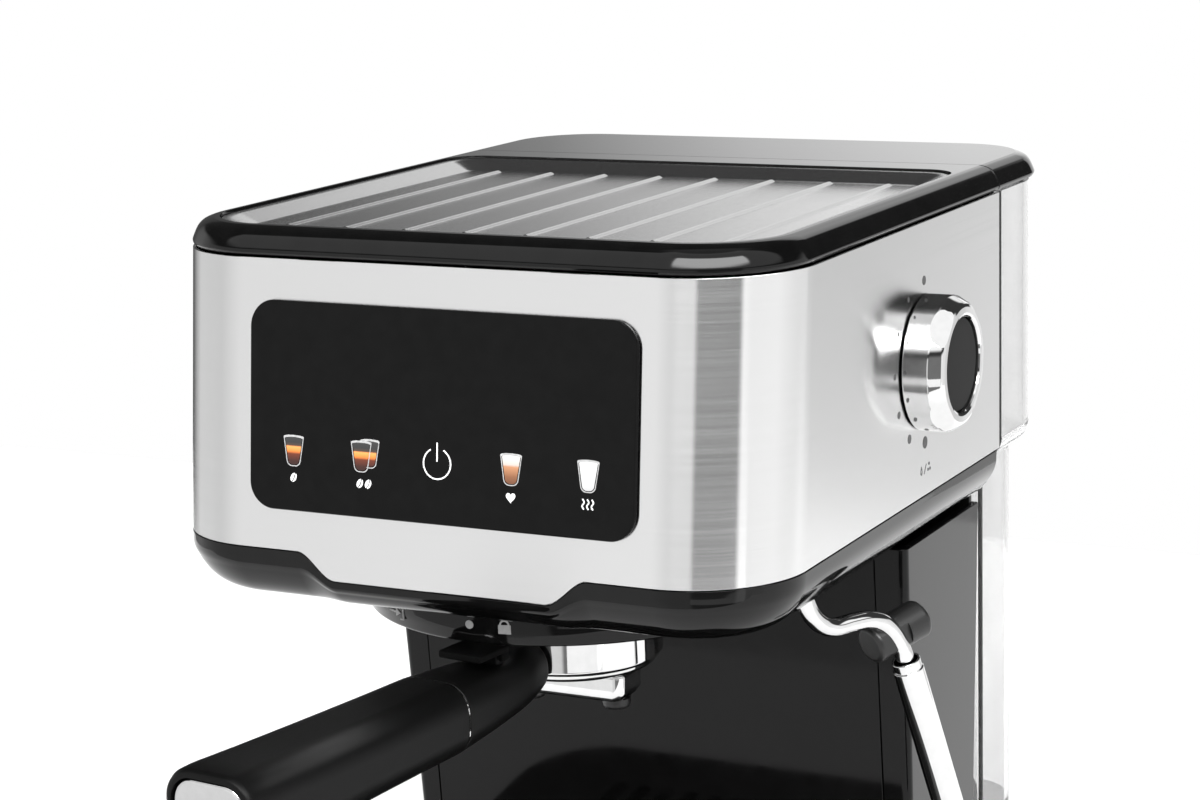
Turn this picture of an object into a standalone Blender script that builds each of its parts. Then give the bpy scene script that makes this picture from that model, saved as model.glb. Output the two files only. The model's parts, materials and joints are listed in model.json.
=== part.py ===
"""Espresso machine with a steel head, a rear water tank, a swinging steam wand and a twist-in filter holder.

Lengths here are millimetres, and the helpers turn them into metres. X runs to the machine's right, Y to
its back and Z up, from the middle of the head's front edge at the table's height.
"""

import math

import bmesh
import bpy
from mathutils import Euler, Matrix, Vector

MM = 0.001
GAP = 0.3

# Head casing
HEAD_Z = 220.0
HEAD_HALF = 104.0
HEAD_DEPTH = 204.7
HEAD_CORNER = 34.0
STEEL_HEIGHT = 88.4
STEEL_THICK = 1.0
LEAN_DEG = 5.94
LEAN = math.tan(math.radians(LEAN_DEG))
TONGUE_DROP = 8.0
TONGUE_INNER = 36.0
TONGUE_OUTER = 49.5
RIM_Z = HEAD_Z + STEEL_HEIGHT + GAP
TOP_Z = HEAD_Z + 97.2
BEZEL_FLOOR_Z = HEAD_Z - 18.7
TRAY_HALF, TRAY_FRONT, TRAY_BACK = 95.5, 18.6, 190.0
RIB_COUNT, RIB_PITCH, RIB_FRONT, RIB_BACK = 8, 21.2, 39.5, 179.4

# Tank behind the head
LID_BACK = 270.0
LID_Z = HEAD_Z + 89.0
TANK_HALF, TANK_FRONT, TANK_BACK = 103.0, 206.0, 264.0
TANK_STEP = 6.9
TANK_WALL = 2.2
LID_HINGE = (266.8, HEAD_Z + 86.3)
EAR_X = 18.3
KNUCKLE_R = 2.5
VALVE_Y = 231.0

# Column and base
COLUMN_HALF = 96.3
COLUMN_LEAN = math.tan(math.radians(4.45))
COLUMN_BACK = 201.9
COLUMN_SEAM = 86.2
BASE_TOP = 54.0
PLINTH_TOP = 79.0
BASE_FLOOR = 13.0
BASE_HALF, BASE_FRONT, BASE_BACK, BASE_CORNER = 104.0, 24.0, 263.5, 34.0
BAY_BACK = 143.0

# Brewing group and filter holder
GROUP_Y = 83.7
COLLAR_Z = HEAD_Z - 28.9
COLLAR_R = 64.9
HOLDER_R = 29.5
HOLDER_LOW = HEAD_Z - 49.5
HANDLE_Z = HEAD_Z - 49.5
HANDLE_END = 179.0
HANDLE_TURN_DEG = -6.5
INSERT_TURN_DEG = 38.0
LUG_Z = (HEAD_Z - 24.0, HEAD_Z - 21.0)
BOLT_Z = HEAD_Z - 43.4
CLIP_Y, CLIP_Z = -48.0, HEAD_Z - 37.4

# Steam knob and wand
KNOB_Y, KNOB_Z = 132.1, HEAD_Z + 43.5
WAND_X, WAND_Y = 87.0, 71.0
WAND_TURN_DEG = 60.0

# One row per finish: colour, roughness, metallic, transmission
FINISHES = {
    "brushed_steel": ((0.62, 0.62, 0.61), 0.32, 1.0, 0.0),
    "chrome": ((0.80, 0.80, 0.81), 0.08, 1.0, 0.0),
    "gloss_black": ((0.012, 0.012, 0.013), 0.12, 0.0, 0.0),
    "satin_black": ((0.020, 0.020, 0.021), 0.38, 0.0, 0.0),
    "grip_black": ((0.010, 0.010, 0.011), 0.48, 0.0, 0.0),
    "black_glass": ((0.004, 0.004, 0.005), 0.05, 0.0, 0.0),
    "clear": ((0.86, 0.88, 0.90), 0.06, 0.0, 0.9),
    "rubber": ((0.030, 0.030, 0.030), 0.75, 0.0, 0.0),
    "silicone": ((0.75, 0.74, 0.70), 0.55, 0.0, 0.0),
    "aluminium": ((0.55, 0.56, 0.57), 0.40, 1.0, 0.0),
    "brass": ((0.62, 0.45, 0.18), 0.30, 1.0, 0.0),
    "board_green": ((0.02, 0.16, 0.06), 0.45, 0.0, 0.0),
    "copper_coil": ((0.30, 0.05, 0.03), 0.45, 0.0, 0.0),
}


# ---------------------------------------------------------------- helpers

def clear_scene():
    for obj in list(bpy.data.objects):
        bpy.data.objects.remove(obj, do_unlink=True)


def new_collection(name):
    collection = bpy.data.collections.new(name)
    bpy.context.scene.collection.children.link(collection)
    return collection


def new_empty(name, place=(0.0, 0.0, 0.0), parent=None, turn_z_deg=0.0):
    """An empty at a place in its parent's millimetres."""
    empty = bpy.data.objects.new(name, None)
    PARTS.objects.link(empty)
    empty.location = Vector(place) * MM
    empty.rotation_euler.z = math.radians(turn_z_deg)
    empty.parent = parent
    return empty


def finish(obj, kind):
    """Give the object a material of its own."""
    colour, roughness, metallic, transmission = FINISHES[kind]
    material = bpy.data.materials.new(obj.name)
    material.use_nodes = True
    shader = material.node_tree.nodes["Principled BSDF"]
    shader.inputs["Base Color"].default_value = (*colour, 1.0)
    shader.inputs["Roughness"].default_value = roughness
    shader.inputs["Metallic"].default_value = metallic
    shader.inputs["Transmission Weight"].default_value = transmission
    obj.data.materials.append(material)


def add_object(name, data, kind=None, parent=None, place=(0.0, 0.0, 0.0), turn=(0.0, 0.0, 0.0)):
    """Link data as a part, or as a cutter where it has no finish."""
    obj = bpy.data.objects.new(name, data)
    obj.location = Vector(place) * MM
    obj.rotation_euler = [math.radians(angle) for angle in turn]
    if kind is None:
        CUTTERS.objects.link(obj)
        obj.hide_render = True
        obj.display_type = "WIRE"
        obj.parent = parent
        return obj
    PARTS.objects.link(obj)
    obj.parent = parent or MACHINE
    finish(obj, kind)
    return obj


def mesh_from(name, bm, sharp_deg=35.0):
    """A smooth-shaded mesh in metres from a bmesh in millimetres."""
    bmesh.ops.scale(bm, vec=(MM, MM, MM), verts=bm.verts)
    mesh = bpy.data.meshes.new(name)
    bm.to_mesh(mesh)
    bm.free()
    mesh.shade_smooth()
    mesh.set_sharp_from_angle(angle=math.radians(sharp_deg))
    return mesh


def box(name, low, high, kind=None, bevel=0.0, **where):
    """A box between two corners, with its origin at its middle."""
    size = Vector(high) - Vector(low)
    bm = bmesh.new()
    bmesh.ops.create_cube(bm, size=1.0, matrix=Matrix.Diagonal((*size, 1.0)))
    middle = (Vector(low) + Vector(high)) / 2
    where.setdefault("place", middle)
    obj = add_object(name, mesh_from(name, bm), kind, **where)
    if bevel:
        rounding = obj.modifiers.new("rounding", "BEVEL")
        rounding.width = bevel * MM
        rounding.segments = 1
    return obj


def cylinder(name, radius, low, high, kind=None, axis="Z", steps=24, **where):
    """A cylinder along an axis from low to high, at its place in the other two directions."""
    bm = bmesh.new()
    shift = Matrix.Translation((0.0, 0.0, (low + high) / 2))
    bmesh.ops.create_cone(
        bm, cap_ends=True, segments=steps, radius1=radius, radius2=radius, depth=high - low, matrix=shift
    )
    turn = {"Z": (0.0, 0.0, 0.0), "X": (0.0, 90.0, 0.0), "Y": (-90.0, 0.0, 0.0)}[axis]
    return add_object(name, mesh_from(name, bm), kind, turn=turn, **where)


def turned(name, profile, kind=None, steps=32, loop=False, **where):
    """A profile of (radius, height) turned about Z; it runs down the outer side."""
    bm = bmesh.new()
    points = [bm.verts.new((radius, 0.0, height)) for radius, height in profile]
    for first, second in zip(points, points[1:]):
        bm.edges.new((first, second))
    if loop:
        bm.edges.new((points[-1], points[0]))
    bmesh.ops.scale(bm, vec=(MM, MM, MM), verts=bm.verts)
    mesh = bpy.data.meshes.new(name)
    bm.to_mesh(mesh)
    bm.free()
    obj = add_object(name, mesh, kind, **where)
    screw = obj.modifiers.new("turn", "SCREW")
    screw.steps = screw.render_steps = steps
    screw.use_merge_vertices = True
    screw.merge_threshold = 1e-6
    screw.use_smooth_shade = True
    return obj


def tube(name, points, radius, kind, sides=2, **where):
    """A round bar or hose through the points."""
    curve = bpy.data.curves.new(name, "CURVE")
    curve.dimensions = "3D"
    curve.bevel_depth = radius * MM
    curve.bevel_resolution = sides
    curve.use_fill_caps = True
    spline = curve.splines.new("POLY")
    spline.points.add(len(points) - 1)
    for target, point in zip(spline.points, points):
        target.co = (*(Vector(point) * MM), 1.0)
    return add_object(name, curve, kind, **where)


def smooth_path(points, per_span=4):
    """Points on a Catmull-Rom curve through the given ones."""
    ends = [2 * Vector(points[0]) - Vector(points[1]), 2 * Vector(points[-1]) - Vector(points[-2])]
    all_points = [ends[0], *(Vector(point) for point in points), ends[1]]
    path = []
    for i in range(1, len(all_points) - 2):
        a, b, c, d = all_points[i - 1:i + 3]
        for step in range(per_span):
            t = step / per_span
            path.append(
                0.5 * ((2 * b) + (c - a) * t + (2 * a - 5 * b + 4 * c - d) * t**2
                       + (3 * b - a - 3 * c + d) * t**3)
            )
    return [*path, all_points[-2]]


def arc(centre, radius, start_deg, end_deg, steps):
    """Points of an arc, its angles counted from +X towards +Y."""
    angles = [math.radians(start_deg + (end_deg - start_deg) * i / steps) for i in range(steps + 1)]
    return [(centre[0] + radius * math.cos(a), centre[1] + radius * math.sin(a)) for a in angles]


def rounded(half, front, back, front_r, back_r, steps=4):
    """A closed outline in plan, symmetric about X = 0, with its own radius at the front and the back."""
    return [
        *arc((-half + front_r, front + front_r), front_r, 180, 270, steps),
        *arc((half - front_r, front + front_r), front_r, 270, 360, steps),
        *arc((half - back_r, back - back_r), back_r, 0, 90, steps),
        *arc((-half + back_r, back - back_r), back_r, 90, 180, steps),
    ]


def skin(bm, rows, closed=False):
    """Faces between neighbouring rows of points; returns the rows as vertices."""
    grid = [[bm.verts.new(point) for point in row] for row in rows]
    for lower, upper in zip(grid, grid[1:]):
        for i in range(len(lower) - (not closed)):
            j = (i + 1) % len(lower)
            bm.faces.new((lower[i], lower[j], upper[j], upper[i]))
    return grid


def loft(name, sections, kind=None, top=True, **where):
    """A skin through closed outlines of (outline, height), listed from the bottom up and shut below."""
    bm = bmesh.new()
    rings = skin(bm, [[(x, y, height) for x, y in outline] for outline, height in sections], closed=True)
    bm.faces.new(list(reversed(rings[0])))
    if top:
        bm.faces.new(rings[-1])
    return add_object(name, mesh_from(name, bm), kind, **where)


def strip(name, rows, kind=None, **where):
    """An open skin through rows of points, each with as many points as the others."""
    bm = bmesh.new()
    skin(bm, rows)
    return add_object(name, mesh_from(name, bm), kind, **where)


def flat(name, outline, low, high, kind=None, **where):
    """A flat outline in plan, as thick as low to high."""
    curve = bpy.data.curves.new(name, "CURVE")
    curve.dimensions = "2D"
    curve.fill_mode = "BOTH"
    curve.extrude = (high - low) / 2 * MM
    spline = curve.splines.new("POLY")
    spline.points.add(len(outline) - 1)
    for target, (x, y) in zip(spline.points, outline):
        target.co = (x * MM, y * MM, 0.0, 1.0)
    spline.use_cyclic_u = True
    turn = Euler([math.radians(angle) for angle in where.get("turn", (0.0, 0.0, 0.0))])
    middle = turn.to_matrix() @ Vector((0.0, 0.0, (low + high) / 2))
    place = Vector(where.pop("place", (0.0, 0.0, 0.0))) + middle
    return as_mesh(add_object(name, curve, kind, place=place, **where))


def as_mesh(obj):
    """The curve object remade as a welded mesh object of the same name, parent and material."""
    name, collection = obj.name, obj.users_collection[0]
    bpy.context.view_layer.update()
    graph = bpy.context.evaluated_depsgraph_get()
    mesh = bpy.data.meshes.new_from_object(obj.evaluated_get(graph))
    bm = bmesh.new()
    bm.from_mesh(mesh)
    bmesh.ops.remove_doubles(bm, verts=bm.verts, dist=1e-6)
    bm.to_mesh(mesh)
    bm.free()
    made = bpy.data.objects.new(name, mesh)
    collection.objects.link(made)
    made.parent = obj.parent
    made.matrix_world = obj.matrix_world.copy()
    made.hide_render, made.display_type = obj.hide_render, obj.display_type
    bpy.data.objects.remove(obj, do_unlink=True)
    made.name = name
    return made


def thicken(obj, thickness):
    """Give a skin its thickness on the side that its faces turn away from."""
    shell = obj.modifiers.new("shell", "SOLIDIFY")
    shell.thickness = thickness * MM
    shell.offset = -1.0
    shell.use_even_offset = True
    return obj


def combine(obj, others, operation):
    for other in others:
        step = obj.modifiers.new(operation.lower(), "BOOLEAN")
        step.operation = operation
        step.object = other
        step.solver = "EXACT"
    return obj


def cut(obj, *cutters):
    return combine(obj, cutters, "DIFFERENCE")


def join(obj, *others):
    return combine(obj, others, "UNION")


# ---------------------------------------------------------------- head casing

def tongue(x):
    """How far the front's lower edge drops at x: fully in the middle, none near the corners."""
    t = (TONGUE_OUTER - abs(x)) / (TONGUE_OUTER - TONGUE_INNER)
    t = min(max(t, 0.0), 1.0)
    return TONGUE_DROP * t * t * (3 - 2 * t)


def head_path(inset=0.0, back=HEAD_DEPTH):
    """The head's open outline in plan at the steel's lower edge: (x, y, moves with the lean)."""
    half, radius = HEAD_HALF - inset, HEAD_CORNER - inset
    edge = half - radius
    s_curve = [TONGUE_OUTER - (TONGUE_OUTER - TONGUE_INNER) * i / 4 for i in range(5)]
    front = [-x for x in s_curve] + s_curve[::-1]
    return [
        (-half, back, False),
        *((x, y, True) for x, y in arc((-edge, inset + radius), radius, 180, 270, 6)),
        *((x, inset, True) for x in front),
        *((x, y, True) for x, y in arc((edge, inset + radius), radius, 270, 360, 6)),
        (half, back, False),
    ]


def make_steel_wrap():
    low_row, high_row = [], []
    for x, y, leans in head_path():
        on_front = y < 1.0
        low = HEAD_Z - (tongue(x) if on_front else 0.0)
        high = HEAD_Z + STEEL_HEIGHT
        low_row.append((x, y + (LEAN * (low - HEAD_Z) if leans else 0.0), low))
        high_row.append((x, y + (LEAN * STEEL_HEIGHT if leans else 0.0), high))
    wrap = thicken(strip("steel_wrap", [low_row, high_row], "brushed_steel"), STEEL_THICK)
    window = box("window_cutter", (-58.0, -20.0, HEAD_Z + 18.0), (58.0, 20.0, HEAD_Z + 70.0), parent=MACHINE)
    shaft_hole = cylinder(
        "knob_hole_cutter", 5.0, HEAD_HALF - 6.0, HEAD_HALF + 6.0, axis="X",
        parent=MACHINE, place=(0.0, KNOB_Y, KNOB_Z),
    )
    cut(wrap, window, shaft_hole)


def on_front(name, height, out):
    """An empty on the leaning front, its own Z pointing out of the face."""
    empty = new_empty(name, (0.0, LEAN * height, HEAD_Z + height), MACHINE)
    empty.rotation_euler.x = math.radians(90.0 - LEAN_DEG)
    empty.location += empty.rotation_euler.to_matrix() @ Vector((0.0, 0.0, out * MM))
    return empty


def make_touch_panel():
    panel_z, panel_half, panel_tall = 44.3, 65.5, 31.9
    seat = on_front("panel_seat", panel_z, 0.0)
    flat("touch_panel", rounded(panel_half, -panel_tall, panel_tall, 8.3, 8.3), GAP, 1.8,
         "black_glass", parent=seat)
    board = box("control_board", (-54.0, -23.0, -7.0), (54.0, 23.0, -5.4), "board_green", parent=seat)
    pads = [
        cylinder(f"pad_cutter_{i}", 5.0, -6.0, -0.3, steps=12, parent=seat, place=(25.0 * i, -13.3, 0.0))
        for i in range(-2, 3)
    ]
    join(board, *pads)


def make_top_rim():
    front = LEAN * STEEL_HEIGHT

    def level(inset, height):
        half = HEAD_HALF - inset
        outline = rounded(half, front + inset, HEAD_DEPTH, HEAD_CORNER - inset, 0.5, 6)
        return outline, height

    steps = ((1.2, RIM_Z), (1.2, 309.9), (0.0, 310.4), (0.0, 312.8), (1.4, 315.4), (4.0, 316.8),
             (7.0, TOP_Z))
    rim = loft("top_rim", [level(inset, height) for inset, height in steps], "gloss_black")
    recess = rounded(TRAY_HALF + GAP, TRAY_FRONT - GAP, TRAY_BACK + GAP, 26.0, 12.0, 5)
    cut(rim, flat("tray_recess_cutter", recess, 311.6, 323.0, parent=MACHINE))


def make_warming_tray():
    def level(inset, height):
        return rounded(TRAY_HALF - inset, TRAY_FRONT + inset, TRAY_BACK - inset,
                       25.5 - inset, 11.5 - inset * 0.8, 5), height

    # Listed from the outer edge down to the pan, so the skin faces up.
    rings = [level(0.0, 316.4), level(2.0, 316.4), level(11.0, 313.0)]
    bm = bmesh.new()
    made = skin(bm, [[(x, y, height) for x, y in outline] for outline, height in rings], closed=True)
    bm.faces.new(made[-1])
    tray = add_object("warming_tray", mesh_from("warming_tray", bm), "brushed_steel")
    thicken(tray, 1.0)
    first = -RIB_PITCH * (RIB_COUNT - 1) / 2
    ribs = []
    for i in range(RIB_COUNT):
        x = first + RIB_PITCH * i + 0.4
        ribs.append(box(f"rib_cutter_{i}", (x - 2.6, RIB_FRONT, 312.4), (x + 2.6, RIB_BACK, 314.2),
                        bevel=0.8, parent=MACHINE))
    join(tray, *ribs)


def make_lower_bezel():
    # (inset, share of the way from the steel's edge down to the floor)
    section = ((0.0, 0.0), (0.4, 0.27), (2.2, 0.50), (5.2, 0.72), (9.2, 0.88), (14.5, 0.975), (20.0, 1.0))
    rows = []
    for inset, share in section:
        row = []
        for x, y, leans in head_path(inset, COLUMN_BACK):
            drop = tongue(x) if y < inset + 1.0 else 0.0
            high = HEAD_Z - GAP - drop
            low = BEZEL_FLOOR_Z
            height = high + (low - high) * share
            row.append((x, y + (LEAN * (height - HEAD_Z) if leans and inset < 1.0 else 0.0), height))
        rows.append(row)
    bm = bmesh.new()
    grid = skin(bm, list(reversed(rows)))
    bm.faces.new(list(reversed(grid[0])))
    bezel = add_object("lower_bezel", mesh_from("lower_bezel", bm), "gloss_black")
    thicken(bezel, 2.2)
    group_hole = cylinder("group_hole_cutter", 48.0, BEZEL_FLOOR_Z - 5.0, BEZEL_FLOOR_Z + 9.0, steps=32,
                          parent=MACHINE, place=(0.0, GROUP_Y, 0.0))
    wand_hole = cylinder("wand_hole_cutter", 5.6, BEZEL_FLOOR_Z - 5.0, BEZEL_FLOOR_Z + 9.0, steps=16,
                         parent=MACHINE, place=(WAND_X, WAND_Y, 0.0))
    duct = box("duct_cutter", (-60.0, 142.0, BEZEL_FLOOR_Z - 5.0), (60.0, 196.0, BEZEL_FLOOR_Z + 9.0),
               parent=MACHINE)
    cut(bezel, group_hole, wand_hole, duct)


# ---------------------------------------------------------------- column, base and tank

def column_front_y(z):
    """Where the column's front wall stands at a height: it leans back as it goes down."""
    return 135.6 + COLUMN_LEAN * (HEAD_Z - 67.6 - z)


def column_half(z):
    return COLUMN_HALF + 0.0187 * (z - HEAD_Z + 67.6)


def make_column():
    wall, corner = 2.5, 3.0
    low, high = BASE_TOP + GAP, BEZEL_FLOOR_Z - GAP
    for name, side in (("column_side_left", -1), ("column_side_right", 1)):
        rows = []
        for z in (low, high):
            half, front = column_half(z), column_front_y(z)
            outline = [
                (COLUMN_SEAM, front),
                *arc((half - corner, front + corner), corner, 270, 360, 3),
                (half, COLUMN_BACK),
            ]
            rows.append([(side * x, y, z) for x, y in outline])
        if side < 0:
            rows.reverse()
        thicken(strip(name, rows, "gloss_black"), wall)
    rows = [
        [(x, column_front_y(z), z) for x in (GAP - COLUMN_SEAM, COLUMN_SEAM - GAP)] for z in (low, high)
    ]
    thicken(strip("column_front", rows, "gloss_black"), wall)


def make_back_panel():
    low, step_low, step_high, high = BASE_TOP + GAP, HEAD_Z, HEAD_Z + 2.0, RIM_Z - GAP
    column, head = 94.0, 102.6
    outline = [(-column, low), (column, low), (column, step_low), (head, step_high), (head, high),
               (-head, high), (-head, step_high), (-column, step_low)]
    flat("back_panel", outline, 0.0, 2.2, "satin_black", place=(0.0, HEAD_DEPTH - 0.3, 0.0),
         turn=(90, 0, 0))


def make_base():
    def level(inset, height):
        return rounded(BASE_HALF - inset, BASE_FRONT + inset, BASE_BACK - inset,
                       BASE_CORNER - inset, BASE_CORNER - inset, 5), height

    base = loft("base_shell", [level(2.0, 7.0), level(0.0, 9.0), level(0.0, BASE_TOP)], "gloss_black")
    outline = rounded(TANK_HALF - TANK_STEP, TANK_FRONT + 1.0, TANK_BACK - TANK_STEP, 4.0,
                      30.0 - TANK_STEP, 4)
    plinth = flat("plinth_cutter", outline, BASE_TOP - 6.0, PLINTH_TOP, parent=MACHINE)
    bay = box("bay_cutter", (-120.0, -20.0, BASE_FLOOR), (120.0, BAY_BACK, 80.0), parent=MACHINE)
    hollow = box("base_hollow_cutter", (-88.0, BAY_BACK + 4.0, 0.0), (88.0, 246.0, BASE_TOP - 3.0),
                 parent=MACHINE)
    well = box("plinth_hollow_cutter", (-80.0, 213.0, BASE_TOP - 8.0), (80.0, 246.0, PLINTH_TOP - 3.0),
               parent=MACHINE)
    seat = cylinder("seat_hole_cutter", 9.0, PLINTH_TOP - 8.0, PLINTH_TOP + 4.0, parent=MACHINE,
                    place=(0.0, VALVE_Y, 0.0))
    riser = box("riser_cutter", (-70.0, 150.0, BASE_TOP - 8.0), (70.0, 196.0, BASE_TOP + 4.0),
                parent=MACHINE)
    gland_hole = cylinder("gland_hole_cutter", 6.3, 230.0, 280.0, axis="Y", steps=16, parent=MACHINE,
                          place=(62.0, 0.0, 28.0))
    join(base, plinth)
    cut(base, bay, hollow, well, seat, riser, gland_hole)

    flat("base_plate", rounded(96.0, 32.0, 255.0, 26.0, 26.0), 4.3, 6.7, "satin_black")
    for end, y in (("front", 52.0), ("rear", 238.0)):
        for side, x in (("left", -76.0), ("right", 76.0)):
            turned(f"foot_{end}_{side}", [(0.0, 4.0), (10.0, 4.0), (10.5, 3.0), (9.0, 0.0), (0.0, 0.0)],
                   "rubber", 20, place=(x, y, 0.0))
    turned("cord_gland", [(4.0, 19.0), (8.0, 19.0), (8.0, 15.0), (5.9, 15.0), (5.9, 0.0), (4.0, 0.0)],
           "satin_black", 20, loop=True, place=(62.0, 249.0, 28.0), turn=(-90.0, 0.0, 0.0))


def make_drip_tray():
    def level(inset, height):
        return rounded(BASE_HALF - inset, BASE_FRONT - 2.0 + inset, BAY_BACK - 0.5 - inset,
                       BASE_CORNER - inset, 3.0, 5), height

    tray = loft("drip_tray", [level(3.0, BASE_FLOOR + GAP), level(0.0, 20.0), level(0.0, 50.0)],
                "gloss_black", top=False, parent=TRAY)
    thicken(tray, 2.2)
    grid = flat("drip_grid", rounded(BASE_HALF, BASE_FRONT - 2.0, 134.0, BASE_CORNER, 3.0),
                50.0 + GAP, 52.6, "satin_black", parent=GRID)
    slots = [
        box(f"slot_cutter_{i}", (-63.0 + 10.0 * i, 50.0, 45.0), (-57.0 + 10.0 * i, 118.0, 60.0), parent=GRID)
        for i in range(13)
    ]
    cut(grid, *slots)


def tank_sections():
    def level(inset, height):
        return rounded(TANK_HALF - inset, TANK_FRONT, TANK_BACK - inset, 4.0, 30.0 - inset, 4), height

    step = TANK_STEP
    return [
        level(step, PLINTH_TOP + GAP), level(step, 212.5), level(step - 0.6, 214.6), level(1.6, 217.4),
        level(0.0, 221.0), level(0.0, 308.0),
    ]


def make_tank():
    tank = loft("water_tank", tank_sections(), "clear", top=False, parent=TANK)
    thicken(tank, TANK_WALL)
    hinge_y, hinge_z = LID_HINGE
    for i, x in enumerate((-EAR_X, EAR_X)):
        web = box(f"ear_web_cutter_{i}", (x - 2.0, TANK_BACK - 1.5, hinge_z - 8.3),
                  (x + 2.0, hinge_y + 2.3, hinge_z), parent=TANK)
        eye = cylinder(f"ear_eye_cutter_{i}", KNUCKLE_R, x - 2.0, x + 2.0, axis="X", steps=20, parent=TANK,
                       place=(0.0, hinge_y, hinge_z))
        join(tank, web, eye)
    outlet = cylinder("outlet_cutter", 7.0, PLINTH_TOP - 2.0, PLINTH_TOP + 6.0, parent=TANK,
                      place=(0.0, VALVE_Y, 0.0))
    pin_hole = cylinder("pin_hole_cutter", 1.8, -25.0, 25.0, axis="X", steps=12, parent=TANK,
                        place=(0.0, hinge_y, hinge_z))
    cut(tank, outlet, pin_hole)
    cylinder("lid_hinge_pin", 1.5, -20.5, 20.5, "chrome", axis="X", steps=12, parent=TANK,
             place=(0.0, hinge_y, hinge_z))
    turned("tank_valve",
           [(0.0, 90.0), (9.5, 90.0), (9.5, 85.2), (5.4, 84.8), (5.4, 74.3), (0.0, 74.3)],
           "satin_black", 20, parent=VALVE)
    turned("tank_inlet",
           [(8.6, 78.6), (8.6, 65.0), (3.0, 65.0), (3.0, 74.0), (7.6, 74.0), (7.6, 78.6)],
           "satin_black", 20, loop=True, place=(0.0, VALVE_Y, 0.0))
    turned("inlet_seal", [(7.3, 77.4), (7.3, 74.3), (5.9, 74.3), (5.9, 77.4)], "rubber", 20, loop=True,
           place=(0.0, VALVE_Y, 0.0))


def make_lid():
    hinge_y, hinge_z = LID_HINGE

    def level(inset, height):
        outline = rounded(HEAD_HALF - inset, HEAD_DEPTH + 0.4, LID_BACK - inset, 0.5, 33.0 - inset, 6)
        return [(x, y - hinge_y) for x, y in outline], height - hinge_z

    steps = ((1.2, LID_Z), (1.2, 309.9), (0.0, 310.4), (0.0, 312.8), (1.4, 315.4), (4.0, 316.8),
             (7.0, TOP_Z))
    lid = loft("tank_lid", [level(inset, height) for inset, height in steps], "gloss_black", parent=LID)
    pocket = box("lid_pocket_cutter", (-94.0, 210.0 - hinge_y, 0.0),
                 (94.0, 256.0 - hinge_y, 314.6 - hinge_z),
                 parent=LID)
    reach = EAR_X - 2.5
    knuckle = cylinder("knuckle_cutter", KNUCKLE_R, -reach, reach, axis="X", steps=20, parent=LID)
    web = box("knuckle_web_cutter", (-reach, -2.0, 0.0), (reach, 2.0, 4.0), parent=LID)
    pin_hole = cylinder("knuckle_hole_cutter", 1.8, -25.0, 25.0, axis="X", steps=12, parent=LID)
    join(cut(lid, pocket), knuckle, web)
    cut(lid, pin_hole)


# ---------------------------------------------------------------- brewing group and what feeds it

def make_group():
    at = (0.0, GROUP_Y, 0.0)
    floor = BEZEL_FLOOR_Z - GAP
    collar = turned(
        "group_collar",
        [(66.4, floor), (66.2, 196.0), (COLLAR_R, COLLAR_Z), (50.0, COLLAR_Z), (47.0, floor)],
        "gloss_black", 40, loop=True, place=at,
    )
    wall_line = column_front_y(floor) - 1.0
    cut(collar, box("collar_back_cutter", (-90.0, wall_line, 178.0), (90.0, 200.0, 218.0), parent=MACHINE))

    # Around the bayonet: a shelf that the lugs run over, then the groove, then the gasket's seat.
    head = turned(
        "group_head",
        [(46.0, 210.0), (46.0, 192.0), (31.2, 192.0), (31.2, 195.4), (37.6, 195.4), (37.6, 205.2),
         (12.0, 205.2), (12.0, 210.0)],
        "aluminium", 32, loop=True, place=at,
    )
    # Two notches let the lugs in at the insert position.
    for i in range(2):
        angle = -90.0 + HANDLE_TURN_DEG - INSERT_TURN_DEG + 180.0 * i
        middle = Matrix.Rotation(math.radians(angle), 3, "Z") @ Vector((32.3, 0.0, 192.5))
        cut(head, box(f"notch_cutter_{i}", (27.0, -8.0, 188.0), (37.6, 8.0, 197.0), parent=MACHINE,
                      place=middle + Vector(at), turn=(0.0, 0.0, angle)))
    turned("group_gasket", [(37.0, 204.9), (37.0, 201.5), (25.0, 201.5), (25.0, 204.9)], "rubber", 32,
           loop=True, place=at)
    turned("shower_screen",
           [(0.0, 204.0), (24.6, 204.0), (24.6, 201.8), (2.6, 201.8), (2.6, 201.0), (0.0, 201.0)],
           "chrome", 28, place=at)
    turned("shower_screw", [(0.0, 200.7), (3.6, 200.7), (4.4, 199.4), (3.6, 198.4), (0.0, 198.4)],
           "chrome", 16, place=at)
    turned("boiler",
           [(0.0, 266.0), (30.0, 266.0), (38.0, 262.0), (38.0, 220.0), (48.0, 218.0), (48.0, 210.3),
            (0.0, 210.3)],
           "aluminium", 24, place=at)
    cylinder("thermostat", 8.0, 266.3, 274.0, "brass", steps=16, place=(14.0, GROUP_Y - 8.0, 0.0))
    cylinder("thermal_fuse", 5.5, 266.3, 273.0, "silicone", steps=12, place=(-16.0, GROUP_Y - 8.0, 0.0))


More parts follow.
